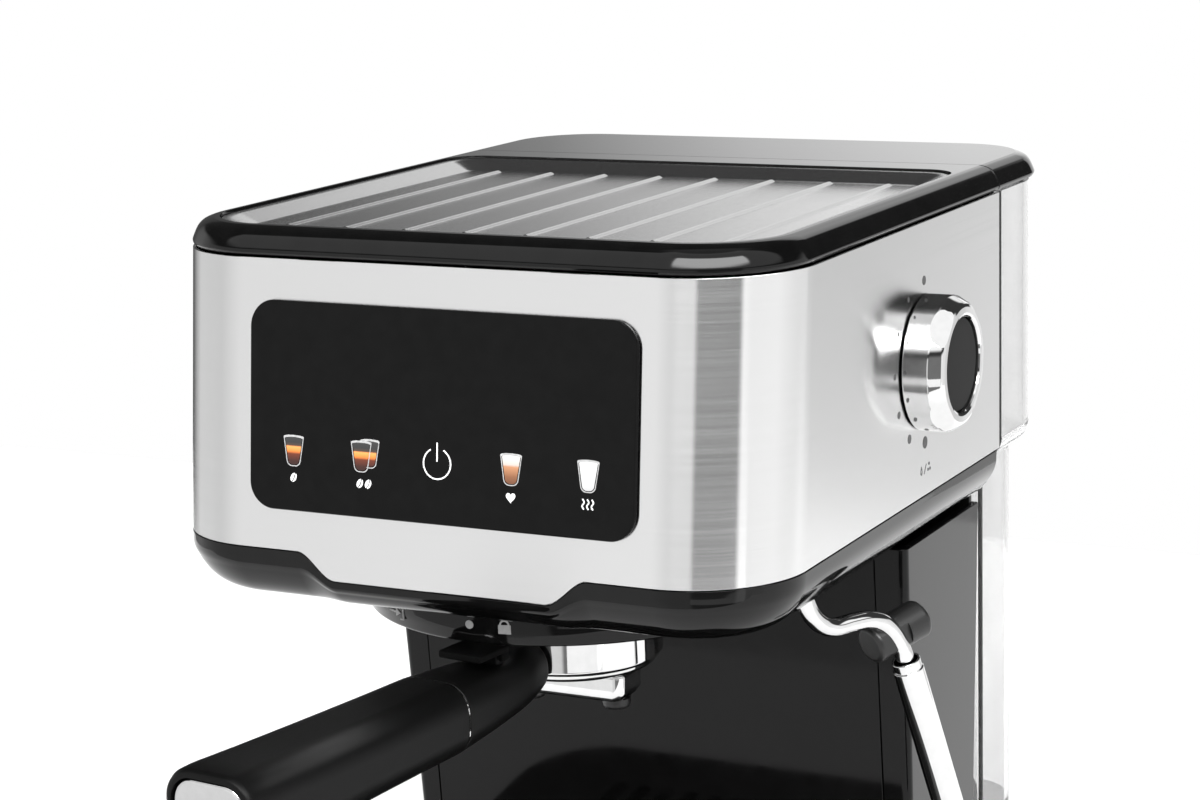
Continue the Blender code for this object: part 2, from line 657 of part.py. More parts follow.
def make_pump():
    middle_y, middle_z = 176.0, 92.0
    cylinder("pump", 16.0, -40.0, 28.0, "copper_coil", axis="X", steps=20, place=(0.0, middle_y, middle_z))
    bracket = box("pump_bracket", (-30.0, middle_y - 21.0, 66.0), (16.0, middle_y + 21.0, 75.6), "rubber")
    cut(bracket, box("bracket_notch_cutter", (-20.0, middle_y - 14.0, 60.0), (6.0, middle_y + 14.0, 72.0),
                     parent=MACHINE))
    suction = [(0.0, VALVE_Y, 64.6), (0.0, VALVE_Y, 48.0), (3.0, 224.0, 30.0), (14.0, 204.0, 22.0),
               (34.0, 180.0, 34.0), (44.0, 176.0, 60.0), (44.0, 176.0, 80.0), (38.0, 176.0, 91.0),
               (28.4, 176.0, 92.0)]
    tube("suction_hose", smooth_path(suction, 3), 3.2, "silicone", 1)
    pressure = [(-40.4, 176.0, 92.0), (-52.0, 176.0, 95.0), (-56.0, 174.0, 112.0), (-54.0, 170.0, 160.0),
                (-50.0, 160.0, 218.0), (-40.0, 140.0, 233.0), (-22.0, 122.5, 240.0)]
    tube("pressure_hose", smooth_path(pressure, 3), 2.6, "silicone", 1)
    board = box("power_board", (-70.0, 194.0, 240.0), (10.0, 195.6, 290.0), "board_green")
    relays = [box(f"relay_cutter_{i}", (x, 180.0, 248.0), (x + 16.0, 194.8, 268.0), parent=MACHINE)
              for i, x in enumerate((-64.0, -38.0))]
    join(board, *relays)


# ---------------------------------------------------------------- filter holder

def make_filter_holder():
    """Everything here hangs from HOLDER, whose -Y runs along the handle."""
    low = HOLDER_LOW
    cup = turned(
        "filter_holder",
        [(0.0, low + 2.6), (27.4, low + 2.6), (27.4, 200.0), (HOLDER_R, 200.0), (HOLDER_R, low + 0.8),
         (HOLDER_R - 0.8, low), (28.0, low - 0.2), (27.6, low - 1.6), (26.2, low - 2.6), (20.0, low - 4.4),
         (0.0, low - 4.4)],
        "chrome", 32, parent=HOLDER,
    )
    lugs = [
        box(f"lug_cutter_{i}", (-6.0, s * 32.6 - 3.8, LUG_Z[0]), (6.0, s * 32.6 + 3.8, LUG_Z[1]),
            parent=HOLDER)
        for i, s in enumerate((-1, 1))
    ]
    bolt_hole = cylinder("bolt_hole_cutter", 3.4, -36.0, -20.0, axis="Y", steps=16, parent=HOLDER,
                         place=(0.0, 0.0, BOLT_Z))
    drain = cylinder("drain_cutter", 3.0, low - 8.0, low + 8.0, steps=12, parent=HOLDER)
    cut(join(cup, *lugs), bolt_hole, drain)
    basket = turned(
        "filter_basket",
        [(29.2, 201.2), (29.2, 200.3), (26.9, 200.3), (25.6, 178.0), (24.9, 178.0), (24.9, 178.8),
         (26.1, 201.2)],
        "chrome", 24, loop=True, parent=HOLDER,
    )
    join(basket, cylinder("basket_floor_cutter", 25.2, 177.9, 178.7, parent=HOLDER))

    spout_top, spout_low = low - 4.4 - GAP, HEAD_Z - 63.2
    spout = box("spout_block", (-21.5, -8.5, spout_low), (21.5, 8.5, spout_top), "chrome", 2.0,
                parent=HOLDER, turn=(0.0, 0.0, -HANDLE_TURN_DEG),
                place=(0.0, 0.0, (spout_top + spout_low) / 2))
    bore = cylinder("spout_bore_cutter", 3.0, spout_low + 3.5, spout_top + 3.0, steps=12, parent=HOLDER)
    cut(spout, bore)
    for side, x in (("left", -15.5), ("right", 15.5)):
        turn = math.radians(-HANDLE_TURN_DEG)
        turned(f"spout_nozzle_{side}",
               [(4.6, spout_low - GAP), (4.6, spout_low - 2.4), (3.9, spout_low - 3.6),
                (2.2, spout_low - 3.6),
                (2.2, spout_low - GAP)],
               "satin_black", 20, loop=True, parent=HOLDER,
               place=(x * math.cos(turn), x * math.sin(turn), 0.0))


def handle_section(wide, tall, radius, lift=0.0):
    """A rounded rectangle across the handle, in its own X and Z."""
    outline = rounded(wide / 2, -tall / 2, tall / 2, radius, radius, 4)
    return [(x, z + lift) for x, z in outline]


def handle_loft(name, sections, kind):
    """A loft along the handle: each row is a distance from the cup's axis and a section."""
    rows = [(outline, distance) for distance, outline in sections]
    return loft(name, rows, kind, parent=HOLDER, place=(0.0, 0.0, HANDLE_Z), turn=(90.0, 0.0, 0.0))


def make_handle():
    bore = cylinder("handle_bore_cutter", 3.4, -100.0, -20.0, axis="Y", steps=16, parent=HOLDER,
                    place=(0.0, 0.0, BOLT_Z))
    neck = handle_loft("handle_neck", [
        (HOLDER_R + GAP, handle_section(22.0, 17.0, 8.0, 3.4)),
        (36.0, handle_section(24.0, 18.5, 8.5, 2.2)),
        (44.0, handle_section(26.0, 17.0, 8.0, 0.6)),
        (60.0, handle_section(28.0, 20.0, 8.5, 0.2)),
        (76.5, handle_section(29.4, 22.6, 9.0, 0.0)),
    ], "grip_black")
    saddle = box("saddle_cutter", (-5.4, CLIP_Y - 2.0, HEAD_Z - 45.0), (5.4, CLIP_Y + 2.0, CLIP_Z + 0.6),
                 parent=HOLDER)
    cut(join(neck, saddle), bore)
    ring = handle_loft("handle_ring", [
        (76.8, handle_section(30.0, 23.2, 9.2)), (77.8, handle_section(30.0, 23.2, 9.2)),
    ], "chrome")
    cut(ring, bore)
    grip = handle_loft("handle_grip", [
        (78.1, handle_section(29.8, 23.0, 9.2)), (110.0, handle_section(30.4, 23.8, 9.2)),
        (150.0, handle_section(31.4, 25.4, 9.2)), (172.0, handle_section(32.2, 26.6, 9.2)),
        (177.4, handle_section(31.8, 26.2, 9.2)), (HANDLE_END, handle_section(29.0, 23.4, 8.4)),
    ], "grip_black")
    socket = handle_loft("cap_socket_cutter", [
        (HANDLE_END - 6.0, handle_section(26.8, 21.2, 7.6)),
        (HANDLE_END + 4.0, handle_section(26.8, 21.2, 7.6)),
    ], None)
    cut(grip, bore, socket)
    handle_loft("handle_end_cap", [
        (HANDLE_END - 5.6, handle_section(26.2, 20.6, 7.3)),
        (HANDLE_END - 1.2, handle_section(26.2, 20.6, 7.3)),
        (HANDLE_END - 0.4, handle_section(24.4, 18.8, 6.6)),
    ], "chrome")
    tube("handle_bolt", [(0.0, -28.6, BOLT_Z), (0.0, -98.0, BOLT_Z)], 3.0, "chrome", 3, parent=HOLDER)
    clip = box("basket_clip", (-8.0, -14.0, 1.0), (8.0, 2.0, 3.4), "grip_black", 0.8, parent=CLIP)
    ears = [box(f"clip_ear_cutter_{i}", (x - 1.0, -2.0, -1.6), (x + 1.0, 2.0, 2.0), parent=CLIP)
            for i, x in enumerate((-6.8, 6.8))]
    join(clip, *ears)


# ---------------------------------------------------------------- steam side

def make_steam_knob():
    at = {"place": (0.0, 0.0, 0.0), "turn": (0.0, 90.0, 0.0), "parent": KNOB}
    knob = turned(
        "steam_knob",
        [(0.0, 9.6), (15.4, 9.6), (15.4, 12.6), (16.8, 13.4), (18.6, 12.9), (21.2, 9.8), (21.8, 8.6),
         (21.8, 1.4), (20.6, 0.5), (0.0, 0.5)],
        "chrome", 32, **at,
    )
    cut(knob, cylinder("knob_bore_cutter", 3.0, -3.0, 6.4, axis="X", steps=16, parent=KNOB))
    turned("knob_insert", [(0.0, 11.9), (14.2, 11.9), (15.1, 11.2), (15.1, 9.9), (0.0, 9.9)],
           "satin_black", 32, **at)


def make_steam_valve():
    tube("valve_spindle", [(-18.0, 0.0, 0.0), (6.0, 0.0, 0.0)], 2.6, "chrome", 2, parent=KNOB)
    body = box("steam_valve_body", (70.0, KNOB_Y - 10.0, KNOB_Z - 10.0),
               (92.0, KNOB_Y + 10.0, KNOB_Z + 10.0),
               "brass", 1.0)
    cut(body, cylinder("spindle_bore_cutter", 3.0, 85.0, 100.0, axis="X", steps=16, parent=MACHINE,
                       place=(0.0, KNOB_Y, KNOB_Z)))
    feed = [(38.4, GROUP_Y + 6.0, 250.0), (48.0, GROUP_Y + 12.0, 252.0), (56.0, GROUP_Y + 32.0, 260.0),
            (62.0, KNOB_Y, KNOB_Z), (69.2, KNOB_Y, KNOB_Z)]
    tube("steam_pipe", smooth_path(feed, 3), 2.5, "chrome", 1)
    down = [(82.0, KNOB_Y, KNOB_Z - 10.4), (82.0, KNOB_Y - 2.0, 242.0), (84.0, KNOB_Y - 20.0, 233.0),
            (87.0, WAND_Y + 18.0, 231.0), (WAND_X, WAND_Y, 225.0), (WAND_X, WAND_Y, 216.0)]
    tube("wand_pipe", smooth_path(down, 2), 2.4, "silicone", 1)
    turned("swivel_nut", [(5.2, 213.4), (5.2, 204.4), (3.4, 204.4), (3.4, 213.4)], "brass", 20, loop=True,
           place=(WAND_X, WAND_Y, 0.0))


# Points of the wand's bent tube: distance out from its pivot, and height above the head's lower edge.
WAND_POINTS = ((0.0, -5.0), (0.0, -14.0), (0.4, -19.8), (3.0, -25.6), (7.0, -29.5), (12.0, -31.2),
               (18.0, -31.0), (24.6, -31.2), (30.5, -33.2), (34.9, -37.2), (38.2, -42.8))
SLEEVE_TOP, SLEEVE_LOW = (39.9, -47.0), (62.6, -115.5)


def along_sleeve(distance):
    """The point this far down the froth sleeve's axis from its top."""
    run, drop = SLEEVE_LOW[0] - SLEEVE_TOP[0], SLEEVE_LOW[1] - SLEEVE_TOP[1]
    length = math.hypot(run, drop)
    return SLEEVE_TOP[0] + run * distance / length, SLEEVE_TOP[1] + drop * distance / length


def sleeve_frame():
    """The tilt about Y that points an object's own Z up the sleeve, in degrees."""
    run, drop = SLEEVE_LOW[0] - SLEEVE_TOP[0], SLEEVE_TOP[1] - SLEEVE_LOW[1]
    return -math.degrees(math.atan2(run, drop))


def make_wand():
    """WAND stands at the pivot with its own +X pointing out along the wand."""
    lift = HEAD_Z
    end = along_sleeve(46.0)
    bend = [(out, 0.0, height + lift) for out, height in (*WAND_POINTS, SLEEVE_TOP)]
    tube("steam_tube", [*smooth_path(bend, 2), (end[0], 0.0, end[1] + lift)], 2.95, "chrome", 3, parent=WAND)
    length = math.dist(SLEEVE_TOP, SLEEVE_LOW)
    tilt = sleeve_frame()
    turned(
        "froth_sleeve",
        [(3.9, 0.0), (4.6, 0.0), (4.6, -3.0), (5.0, -3.2), (5.0, -length + 2.0), (4.2, -length),
         (2.6, -length), (2.6, -length + 3.0), (3.9, -length + 6.0)],
        "chrome", 24, loop=True, parent=SLEEVE,
    )
    nozzle_top = 46.0 + GAP
    turned("steam_nozzle", [(0.0, -nozzle_top), (3.3, -nozzle_top), (3.3, -nozzle_top - 12.0),
                            (1.4, -nozzle_top - 14.0), (0.0, -nozzle_top - 14.0)],
           "silicone", 16, parent=WAND, place=(SLEEVE_TOP[0], 0.0, SLEEVE_TOP[1] + lift),
           turn=(0.0, tilt, 0.0))
    # The grip is a short bar across the tube, which lies in a groove in its near side.
    across = tilt + 90.0 + 3.0
    grip = turned("wand_grip",
                  [(0.0, 14.0), (4.6, 14.0), (6.3, 12.6), (6.3, -7.0), (5.2, -8.0), (0.0, -8.0)],
                  "satin_black", 24, parent=WAND, place=(35.8, 3.4, lift - 39.0), turn=(0.0, across, 0.0))
    groove = box("groove_cutter", (-20.0, -14.0, -5.6), (20.0, 3.4, 5.6), parent=WAND,
                 place=(35.0, -5.3, lift - 39.0), turn=(0.0, across, 0.0))
    cut(grip, groove)


# ---------------------------------------------------------------- assembly

def centre_on_box():
    """Move the assembly so that the world origin is at the middle of its box, on the table."""
    bpy.context.view_layer.update()
    graph = bpy.context.evaluated_depsgraph_get()
    low, high = Vector((1e9, 1e9, 1e9)), Vector((-1e9, -1e9, -1e9))
    for obj in PARTS.objects:
        if obj.type == "EMPTY":
            continue
        evaluated = obj.evaluated_get(graph)
        mesh = evaluated.to_mesh()
        for vertex in mesh.vertices:
            point = evaluated.matrix_world @ vertex.co
            low = Vector(map(min, low, point))
            high = Vector(map(max, high, point))
        evaluated.to_mesh_clear()
    MACHINE.location = (-(low.x + high.x) / 2, -(low.y + high.y) / 2, -low.z)


clear_scene()
PARTS = new_collection("espresso_machine")
CUTTERS = new_collection("cutters")
MACHINE = new_empty("machine")
TRAY = new_empty("drip_tray_slide", parent=MACHINE)
GRID = new_empty("drip_grid_lift", parent=TRAY)
TANK = new_empty("tank_lift", parent=MACHINE)
LID = new_empty("lid_hinge", (0.0, *LID_HINGE), TANK)
VALVE = new_empty("valve_lift", (0.0, VALVE_Y, 0.0), TANK)
KNOB = new_empty("knob_axis", (HEAD_HALF, KNOB_Y, KNOB_Z), MACHINE)
WAND = new_empty("wand_axis", (WAND_X, WAND_Y, 0.0), MACHINE, WAND_TURN_DEG)
SLEEVE = new_empty("sleeve_axis", (SLEEVE_TOP[0], 0.0, SLEEVE_TOP[1] + HEAD_Z), WAND)
SLEEVE.rotation_euler.y = math.radians(sleeve_frame())
HOLDER = new_empty("holder_axis", (0.0, GROUP_Y, 0.0), MACHINE, HANDLE_TURN_DEG)
CLIP = new_empty("clip_axis", (0.0, CLIP_Y, CLIP_Z), HOLDER)

make_steel_wrap()
make_touch_panel()
make_top_rim()
make_warming_tray()
make_lower_bezel()
make_column()
make_back_panel()
make_base()
make_drip_tray()
make_tank()
make_lid()
make_group()
make_pump()
make_filter_holder()
make_handle()
make_steam_knob()
make_steam_valve()
make_wand()
centre_on_box()
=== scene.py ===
"""Looks of the espresso machine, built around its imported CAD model.

Shapes are made in millimetres in the machine's own axes: X to the right, Y back from the lower edge of the
steel front, Z up from the table. piece() puts them into the frame, which is in metres.
"""

import json
from math import atan2, cos, dist, pi, radians, sin, tan, tau

import bmesh
import bpy
from mathutils import Matrix, Vector


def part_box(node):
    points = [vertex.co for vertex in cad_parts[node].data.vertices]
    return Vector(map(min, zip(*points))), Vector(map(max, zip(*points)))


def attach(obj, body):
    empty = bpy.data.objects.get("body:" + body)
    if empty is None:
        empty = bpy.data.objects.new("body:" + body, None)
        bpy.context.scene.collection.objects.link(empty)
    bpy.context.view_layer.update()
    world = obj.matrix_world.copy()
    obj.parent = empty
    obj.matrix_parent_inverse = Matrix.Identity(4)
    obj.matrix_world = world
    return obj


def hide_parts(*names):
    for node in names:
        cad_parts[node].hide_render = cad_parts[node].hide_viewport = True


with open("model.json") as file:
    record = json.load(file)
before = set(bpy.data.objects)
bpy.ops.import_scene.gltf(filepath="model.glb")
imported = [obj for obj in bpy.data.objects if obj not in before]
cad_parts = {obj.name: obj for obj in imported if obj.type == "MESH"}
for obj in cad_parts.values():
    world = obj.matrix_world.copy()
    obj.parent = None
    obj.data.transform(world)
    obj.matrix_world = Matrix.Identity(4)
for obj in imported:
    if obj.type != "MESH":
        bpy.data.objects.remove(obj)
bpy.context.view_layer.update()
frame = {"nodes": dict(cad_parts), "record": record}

# ---- sizes, in millimetres

MM = 0.001
STEEL_TALL = 88.4
HEAD_DEPTH = 204.7
HEAD_HALF, HEAD_CORNER = 104.0, 34.0
STEEL_LOW, STEEL_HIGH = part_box("steel_wrap")
HEAD_Z = STEEL_HIGH.z / MM - STEEL_TALL
ORIGIN = Vector(((STEEL_LOW.x + STEEL_HIGH.x) / 2, STEEL_HIGH.y - HEAD_DEPTH * MM, 0.0))
TO_FRAME = Matrix.Translation(ORIGIN) @ Matrix.Scale(MM, 4)

GAP = 0.3
LEAN_DEG = 5.94
LEAN = tan(radians(LEAN_DEG))
TONGUE_DROP, TONGUE_INNER, TONGUE_OUTER = 8.0, 36.0, 49.5
RIM_Z, TOP_Z = HEAD_Z + STEEL_TALL + GAP, HEAD_Z + 97.2
BEZEL_FLOOR_Z = HEAD_Z - 18.7
TRAY_HALF, TRAY_FRONT, TRAY_BACK = 95.5, 18.6, 190.0
TRAY_FRONT_R, TRAY_BACK_R = 25.5, 11.5
RIB_COUNT, RIB_PITCH, RIB_FRONT, RIB_BACK = 8, 21.2, 39.5, 179.4

LID_BACK, LID_CORNER = 270.0, 33.0
LID_HINGE_Y, LID_HINGE_Z = 266.8, HEAD_Z + 86.3
TANK_HALF, TANK_FRONT, TANK_BACK, TANK_CORNER = 103.0, 206.0, 264.0, 30.0
TANK_STEP, TANK_WALL = 6.9, 2.2
VALVE_Y = 231.0

# The column's front and half width are given at COLUMN_MARK_Z; it narrows and falls back below.
COLUMN_LEAN, COLUMN_TAPER = tan(radians(4.45)), 0.0187
COLUMN_FRONT, COLUMN_HALF, COLUMN_MARK_Z = 135.6, 96.3, HEAD_Z - 67.6
COLUMN_BACK, COLUMN_SEAM, COLUMN_WALL = 201.9, 86.2, 2.5
BASE_TOP, PLINTH_TOP = 54.0, 79.0
BASE_HALF, BASE_FRONT, BASE_BACK, BASE_CORNER = 104.0, 24.0, 263.5, 34.0
BAY_BACK = 143.0
DRIP_FRONT, GRID_BACK = BASE_FRONT - 2.0, 134.0

GROUP_Y = 83.7
COLLAR_Z, COLLAR_R, COLLAR_WALL_R = HEAD_Z - 28.9, 64.9, 66.2
HOLDER_R, HOLDER_LOW, HOLDER_TURN = 29.5, HEAD_Z - 49.5, -6.5
HANDLE_Z, HANDLE_END = HEAD_Z - 49.5, 178.95
CLIP_Y, CLIP_Z = -48.0, HEAD_Z - 37.4
KNOB_Y, KNOB_Z = 132.1, HEAD_Z + 43.5
WAND_PIVOT, WAND_TURN, WAND_HOLE_R = (87.0, 71.0, 0.0), 60.0, 5.6
WAND_POINTS = ((0.0, -5.0), (0.0, -14.0), (0.4, -19.8), (3.0, -25.6), (7.0, -29.5), (12.0, -31.2),
               (18.0, -31.0), (24.6, -31.2), (30.5, -33.2), (34.9, -37.2), (38.2, -42.8))
TUBE_R, TUBE_IN_SLEEVE = 2.95, 46.0
SLEEVE_TOP, SLEEVE_LOW = (39.9, -47.0), (62.6, -115.5)
SLEEVE_LENGTH = dist(SLEEVE_TOP, SLEEVE_LOW)
SLEEVE_TILT = -atan2(SLEEVE_LOW[0] - SLEEVE_TOP[0], SLEEVE_TOP[1] - SLEEVE_LOW[1])


def shift(x, y, z):
    return Matrix.Translation((x, y, z))


def turn(degrees, axis):
    return Matrix.Rotation(radians(degrees), 4, axis)


PANEL_MIDDLE = 44.3
PANEL = shift(0.0, LEAN * PANEL_MIDDLE, HEAD_Z + PANEL_MIDDLE) @ turn(90.0 - LEAN_DEG, "X")
HOLDER = shift(0.0, GROUP_Y, 0.0) @ turn(HOLDER_TURN, "Z")
ALONG_HANDLE = HOLDER @ shift(0.0, 0.0, HANDLE_Z) @ turn(90.0, "X")
WAND = shift(*WAND_PIVOT) @ turn(WAND_TURN, "Z")
SLEEVE_LEAN = Matrix.Rotation(SLEEVE_TILT, 4, "Y")
SLEEVE = WAND @ shift(SLEEVE_TOP[0], 0.0, SLEEVE_TOP[1] + HEAD_Z) @ SLEEVE_LEAN
KNOB = shift(HEAD_HALF, KNOB_Y, KNOB_Z) @ turn(90.0, "X") @ turn(90.0, "Y")

# ---- outlines


def arc(centre, radius, start_deg, end_deg, steps):
    """Points of an arc, its angles counted from the first axis towards the second."""
    angles = [radians(start_deg + (end_deg - start_deg) * i / steps) for i in range(steps + 1)]
    return [(centre[0] + radius * cos(a), centre[1] + radius * sin(a)) for a in angles]


def circle(centre, radius, steps):
    return arc(centre, radius, 0, 360, steps)[:-1]


def rounded(half, front, back, front_r, back_r, steps=16):
    """A closed outline, symmetric about the first axis's zero, with its own radius at each end."""
    return [
        *arc((-half + front_r, front + front_r), front_r, 180, 270, steps),
        *arc((half - front_r, front + front_r), front_r, 270, 360, steps),
        *arc((half - back_r, back - back_r), back_r, 0, 90, steps),
        *arc((-half + back_r, back - back_r), back_r, 90, 180, steps),
    ]


def soften(points, radius, steps=4):
    """The open polyline with each inner corner eased over about this radius."""
    points = [Vector(point) for point in points]
    made = [points[0]]
    for before, corner, after in zip(points, points[1:], points[2:]):
        back, ahead = before - corner, after - corner
        reach = min(radius, 0.45 * back.length, 0.45 * ahead.length)
        start, end = corner + back.normalized() * reach, corner + ahead.normalized() * reach
        for i in range(steps + 1):
            t = i / steps
            made.append(start.lerp(corner, t).lerp(corner.lerp(end, t), t))
    return [*made, points[-1]]


def smooth_path(points, per_span=8):
    """Points on a Catmull-Rom curve through the given ones."""
    points = [Vector(point) for point in points]
    points = [2 * points[0] - points[1], *points, 2 * points[-1] - points[-2]]
    path = []
    for i in range(1, len(points) - 2):
        a, b, c, d = points[i - 1:i + 3]
        for step in range(per_span):
            t = step / per_span
            path.append(
                0.5 * ((2 * b) + (c - a) * t + (2 * a - 5 * b + 4 * c - d) * t**2
                       + (3 * b - a - 3 * c + d) * t**3)
            )
    return [*path, points[-2]]


# ---- meshes


def skin(bm, rows, closed=False):
    """Faces between neighbouring rows of points; returns the rows as vertices."""
    grid = [[bm.verts.new(point) for point in row] for row in rows]
    for lower, upper in zip(grid, grid[1:]):
        for i in range(len(lower) - (not closed)):
            j = (i + 1) % len(lower)
            bm.faces.new((lower[i], lower[j], upper[j], upper[i]))
    return grid


def agree(bm):
    """Turn the faces the same way, which is outwards on a closed body."""
    bmesh.ops.recalc_face_normals(bm, faces=bm.faces)


def solid(rows):
    """A closed body through rows of points, both ends capped."""
    bm = bmesh.new()
    grid = skin(bm, rows, closed=True)
    bm.faces.new(grid[0][::-1])
    bm.faces.new(grid[-1])
    return bm


def loft(sections):
    """A closed body through (outline, height) sections."""
    return solid([[(x, y, height) for x, y in outline] for outline, height in sections])


def prism(outline, low, high):
    return loft([(outline, low), (outline, high)])


def stack(half, front, back, front_r, back_r, section, steps=16):
    """A closed body whose outline shrinks all round by a section of (inset, height)."""
    return loft([(rounded(half - i, front + i, back - i, front_r - i, back_r - i, steps), z)
                 for i, z in section])


def slab(low, high):
    """A box between two corners."""
    (x0, y0, z0), (x1, y1, z1) = low, high
    return prism([(x0, y0), (x1, y0), (x1, y1), (x0, y1)], z0, z1)


def turned(profile, steps=96, loop=False):
    """A profile of (radius, height) turned about Z."""
    profile = [*profile, profile[0]] if loop else profile
    bm = bmesh.new()
    rows = []
    for radius, height in profile:
        rows.append([(x, y, height) for x, y in circle((0.0, 0.0), radius, steps)])
    skin(bm, rows, closed=True)
    bmesh.ops.remove_doubles(bm, verts=bm.verts, dist=1e-5)
    agree(bm)
    return bm


def rod(radius, start, end, steps=32):
    """A round rod along Z between two heights."""
    return turned([(0.0, start), (radius, start), (radius, end), (0.0, end)], steps)


def eye(half):
    """A ring round the lid's hinge pin, this far to each side of its middle."""
    inner, outer = 1.8, 2.5
    return turned([(inner, -half), (outer, -half), (outer, half), (inner, half)], 32, loop=True)


def swept(path, radius, sides=32):
    """A round bar along a path."""
    path = [Vector(point) for point in path]
    side = Vector((0.0, 1.0, 0.0))
    rows = []
    for i, point in enumerate(path):
        ahead = path[min(i + 1, len(path) - 1)] - path[max(i - 1, 0)]
        ahead.normalize()
        up = ahead.cross(side).normalized()
        side = up.cross(ahead).normalized()
        rows.append([point + side * u + up * v for u, v in circle((0.0, 0.0), radius, sides)])
    bm = solid(rows)
    agree(bm)
    return bm


def new_mesh(name, bm):
    """A mesh with the bmesh's contents; the bmesh is used up."""
    mesh = bpy.data.meshes.new(name)
    bm.to_mesh(mesh)
    bm.free()
    return mesh


def new_object(name, data):
    obj = bpy.data.objects.new(name, data)
    bpy.context.scene.collection.objects.link(obj)
    return obj


def in_place(*parts):
    """(bmesh, matrix) pairs for parts that are already where they belong."""
    return [(part, Matrix()) for part in parts]


def merged(*parts):
    """One bmesh from several (bmesh, matrix) pairs."""
    bm = bmesh.new()
    for part, where in parts:
        part.transform(where)
        mesh = new_mesh("part", part)
        bm.from_mesh(mesh)
        bpy.data.meshes.remove(mesh)
    return bm


def thicken(obj, thickness):
    """Give a skin its thickness on the side that its faces turn away from."""
    shell = obj.modifiers.new("shell", "SOLIDIFY")
    shell.thickness = thickness * MM
    shell.offset = -1.0
    shell.use_even_offset = True


def round_edges(obj, width):
    rounding = obj.modifiers.new("rounding", "BEVEL")
    rounding.width = width * MM
    rounding.segments = 3
    rounding.limit_method = "ANGLE"
    rounding.angle_limit = radians(40.0)
    rounding.harden_normals = True


def bake(obj):
    """Apply the object's modifiers to its mesh."""
    graph = bpy.context.evaluated_depsgraph_get()
    mesh = bpy.data.meshes.new_from_object(obj.evaluated_get(graph))
    obj.modifiers.clear()
    obj.data = mesh


def cutter_object(name, bm, where):
    """A helper object for a cut, its faces turned outwards."""
    bm.transform(TO_FRAME @ where)
    agree(bm)
    return new_object(name, new_mesh(name, bm))


def piece(name, bm, kind, body, nodes=(), where=Matrix(), thick=0.0, edge=0.0, cutters=(), sharp_deg=30.0):
    """One visible piece: its mesh, finish, thickness and rounded edges, and the body it rides."""
    bm.transform(TO_FRAME @ where)
    mesh = new_mesh(name, bm)
    mesh.materials.append(LOOKS[kind])
    obj = new_object(name, mesh)
    if thick:
        thicken(obj, thick)
    helpers = [cutter_object(name + "_cutter", cutter, place) for cutter, place in cutters]
    for helper in helpers:
        cut = obj.modifiers.new("cut", "BOOLEAN")
        cut.operation, cut.solver, cut.object = "DIFFERENCE", "EXACT", helper
    if edge:
        round_edges(obj, edge)
    if obj.modifiers:
        bpy.context.view_layer.update()
        bake(obj)
    for helper in helpers:
        bpy.data.objects.remove(helper)
    obj.data.shade_smooth()
    obj.data.set_sharp_from_angle(angle=radians(sharp_deg))
    # Large faces keep their own direction, so that only the rounded edges between them bend reflections.
    weighted = obj.modifiers.new("weighted_normals", "WEIGHTED_NORMAL")
    weighted.keep_sharp = True
    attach(obj, body)
    if nodes:
        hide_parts(*nodes)


# ---- finishes


def add(tree, kind, inputs=None, **settings):
    """A shader node with its settings and inputs; an input may be a value or another node's output."""
    node = tree.nodes.new("ShaderNode" + kind)
    for key, value in settings.items():
        setattr(node, key, value)
    for key, value in (inputs or {}).items():
        if isinstance(value, bpy.types.NodeSocket):
            tree.links.new(value, node.inputs[key])
        else:
            node.inputs[key].default_value = value
    return node


def calc(tree, operation, *values, **settings):
    """The result of a Math node on these values."""
    return add(tree, "Math", dict(enumerate(values)), operation=operation, **settings).outputs["Value"]


def mapped(tree, value, start, end, low=0.0, high=1.0, **settings):
    """The value's stretch from start to end, mapped to low to high."""
    limits = {"From Min": start, "From Max": end, "To Min": low, "To Max": high}
    return add(tree, "MapRange", {"Value": value, **limits}, **settings).outputs["Result"]


def grey(value):
    return (value, value, value, 1.0)


def new_look(name, **values):
    """A material; returns it with its node tree and its Principled shader."""
    material = bpy.data.materials.new(name)
    material.use_nodes = True
    tree = material.node_tree
    shader = tree.nodes["Principled BSDF"]
    for key, value in values.items():
        shader.inputs[key.replace("_", " ")].default_value = value
    return material, tree, shader


def noise(tree, scale, stretch=(1.0, 1.0, 1.0), detail=3.0):
    """Noise in the object's own metres, stretched along some axes."""
    place = add(tree, "TexCoord").outputs["Object"]
    stretched = add(tree, "Mapping", {"Vector": place, "Scale": stretch}).outputs["Vector"]
    return add(tree, "TexNoise", {"Vector": stretched, "Scale": scale, "Detail": detail}).outputs["Fac"]


def ramp(tree, value, stops):
    """A colour ramp; stops are (position, colour), where a number is a grey."""
    node = add(tree, "ValToRGB", {"Fac": value})
    elements = node.color_ramp.elements
    while len(elements) < len(stops):
        elements.new(1.0)
    for element, (position, colour) in zip(elements, stops):
        element.position, element.color = position, colour if isinstance(colour, tuple) else grey(colour)
    return node.outputs["Color"]


def spread(tree, value, low, high):
    """The useful middle stretch of a noise value, mapped to low to high."""
    return mapped(tree, value, 0.3, 0.7, low, high)


def bump(tree, shader, height, strength, distance_mm):
    relief = {"Height": height, "Strength": strength, "Distance": distance_mm * MM}
    tree.links.new(add(tree, "Bump", relief).outputs["Normal"], shader.inputs["Normal"])


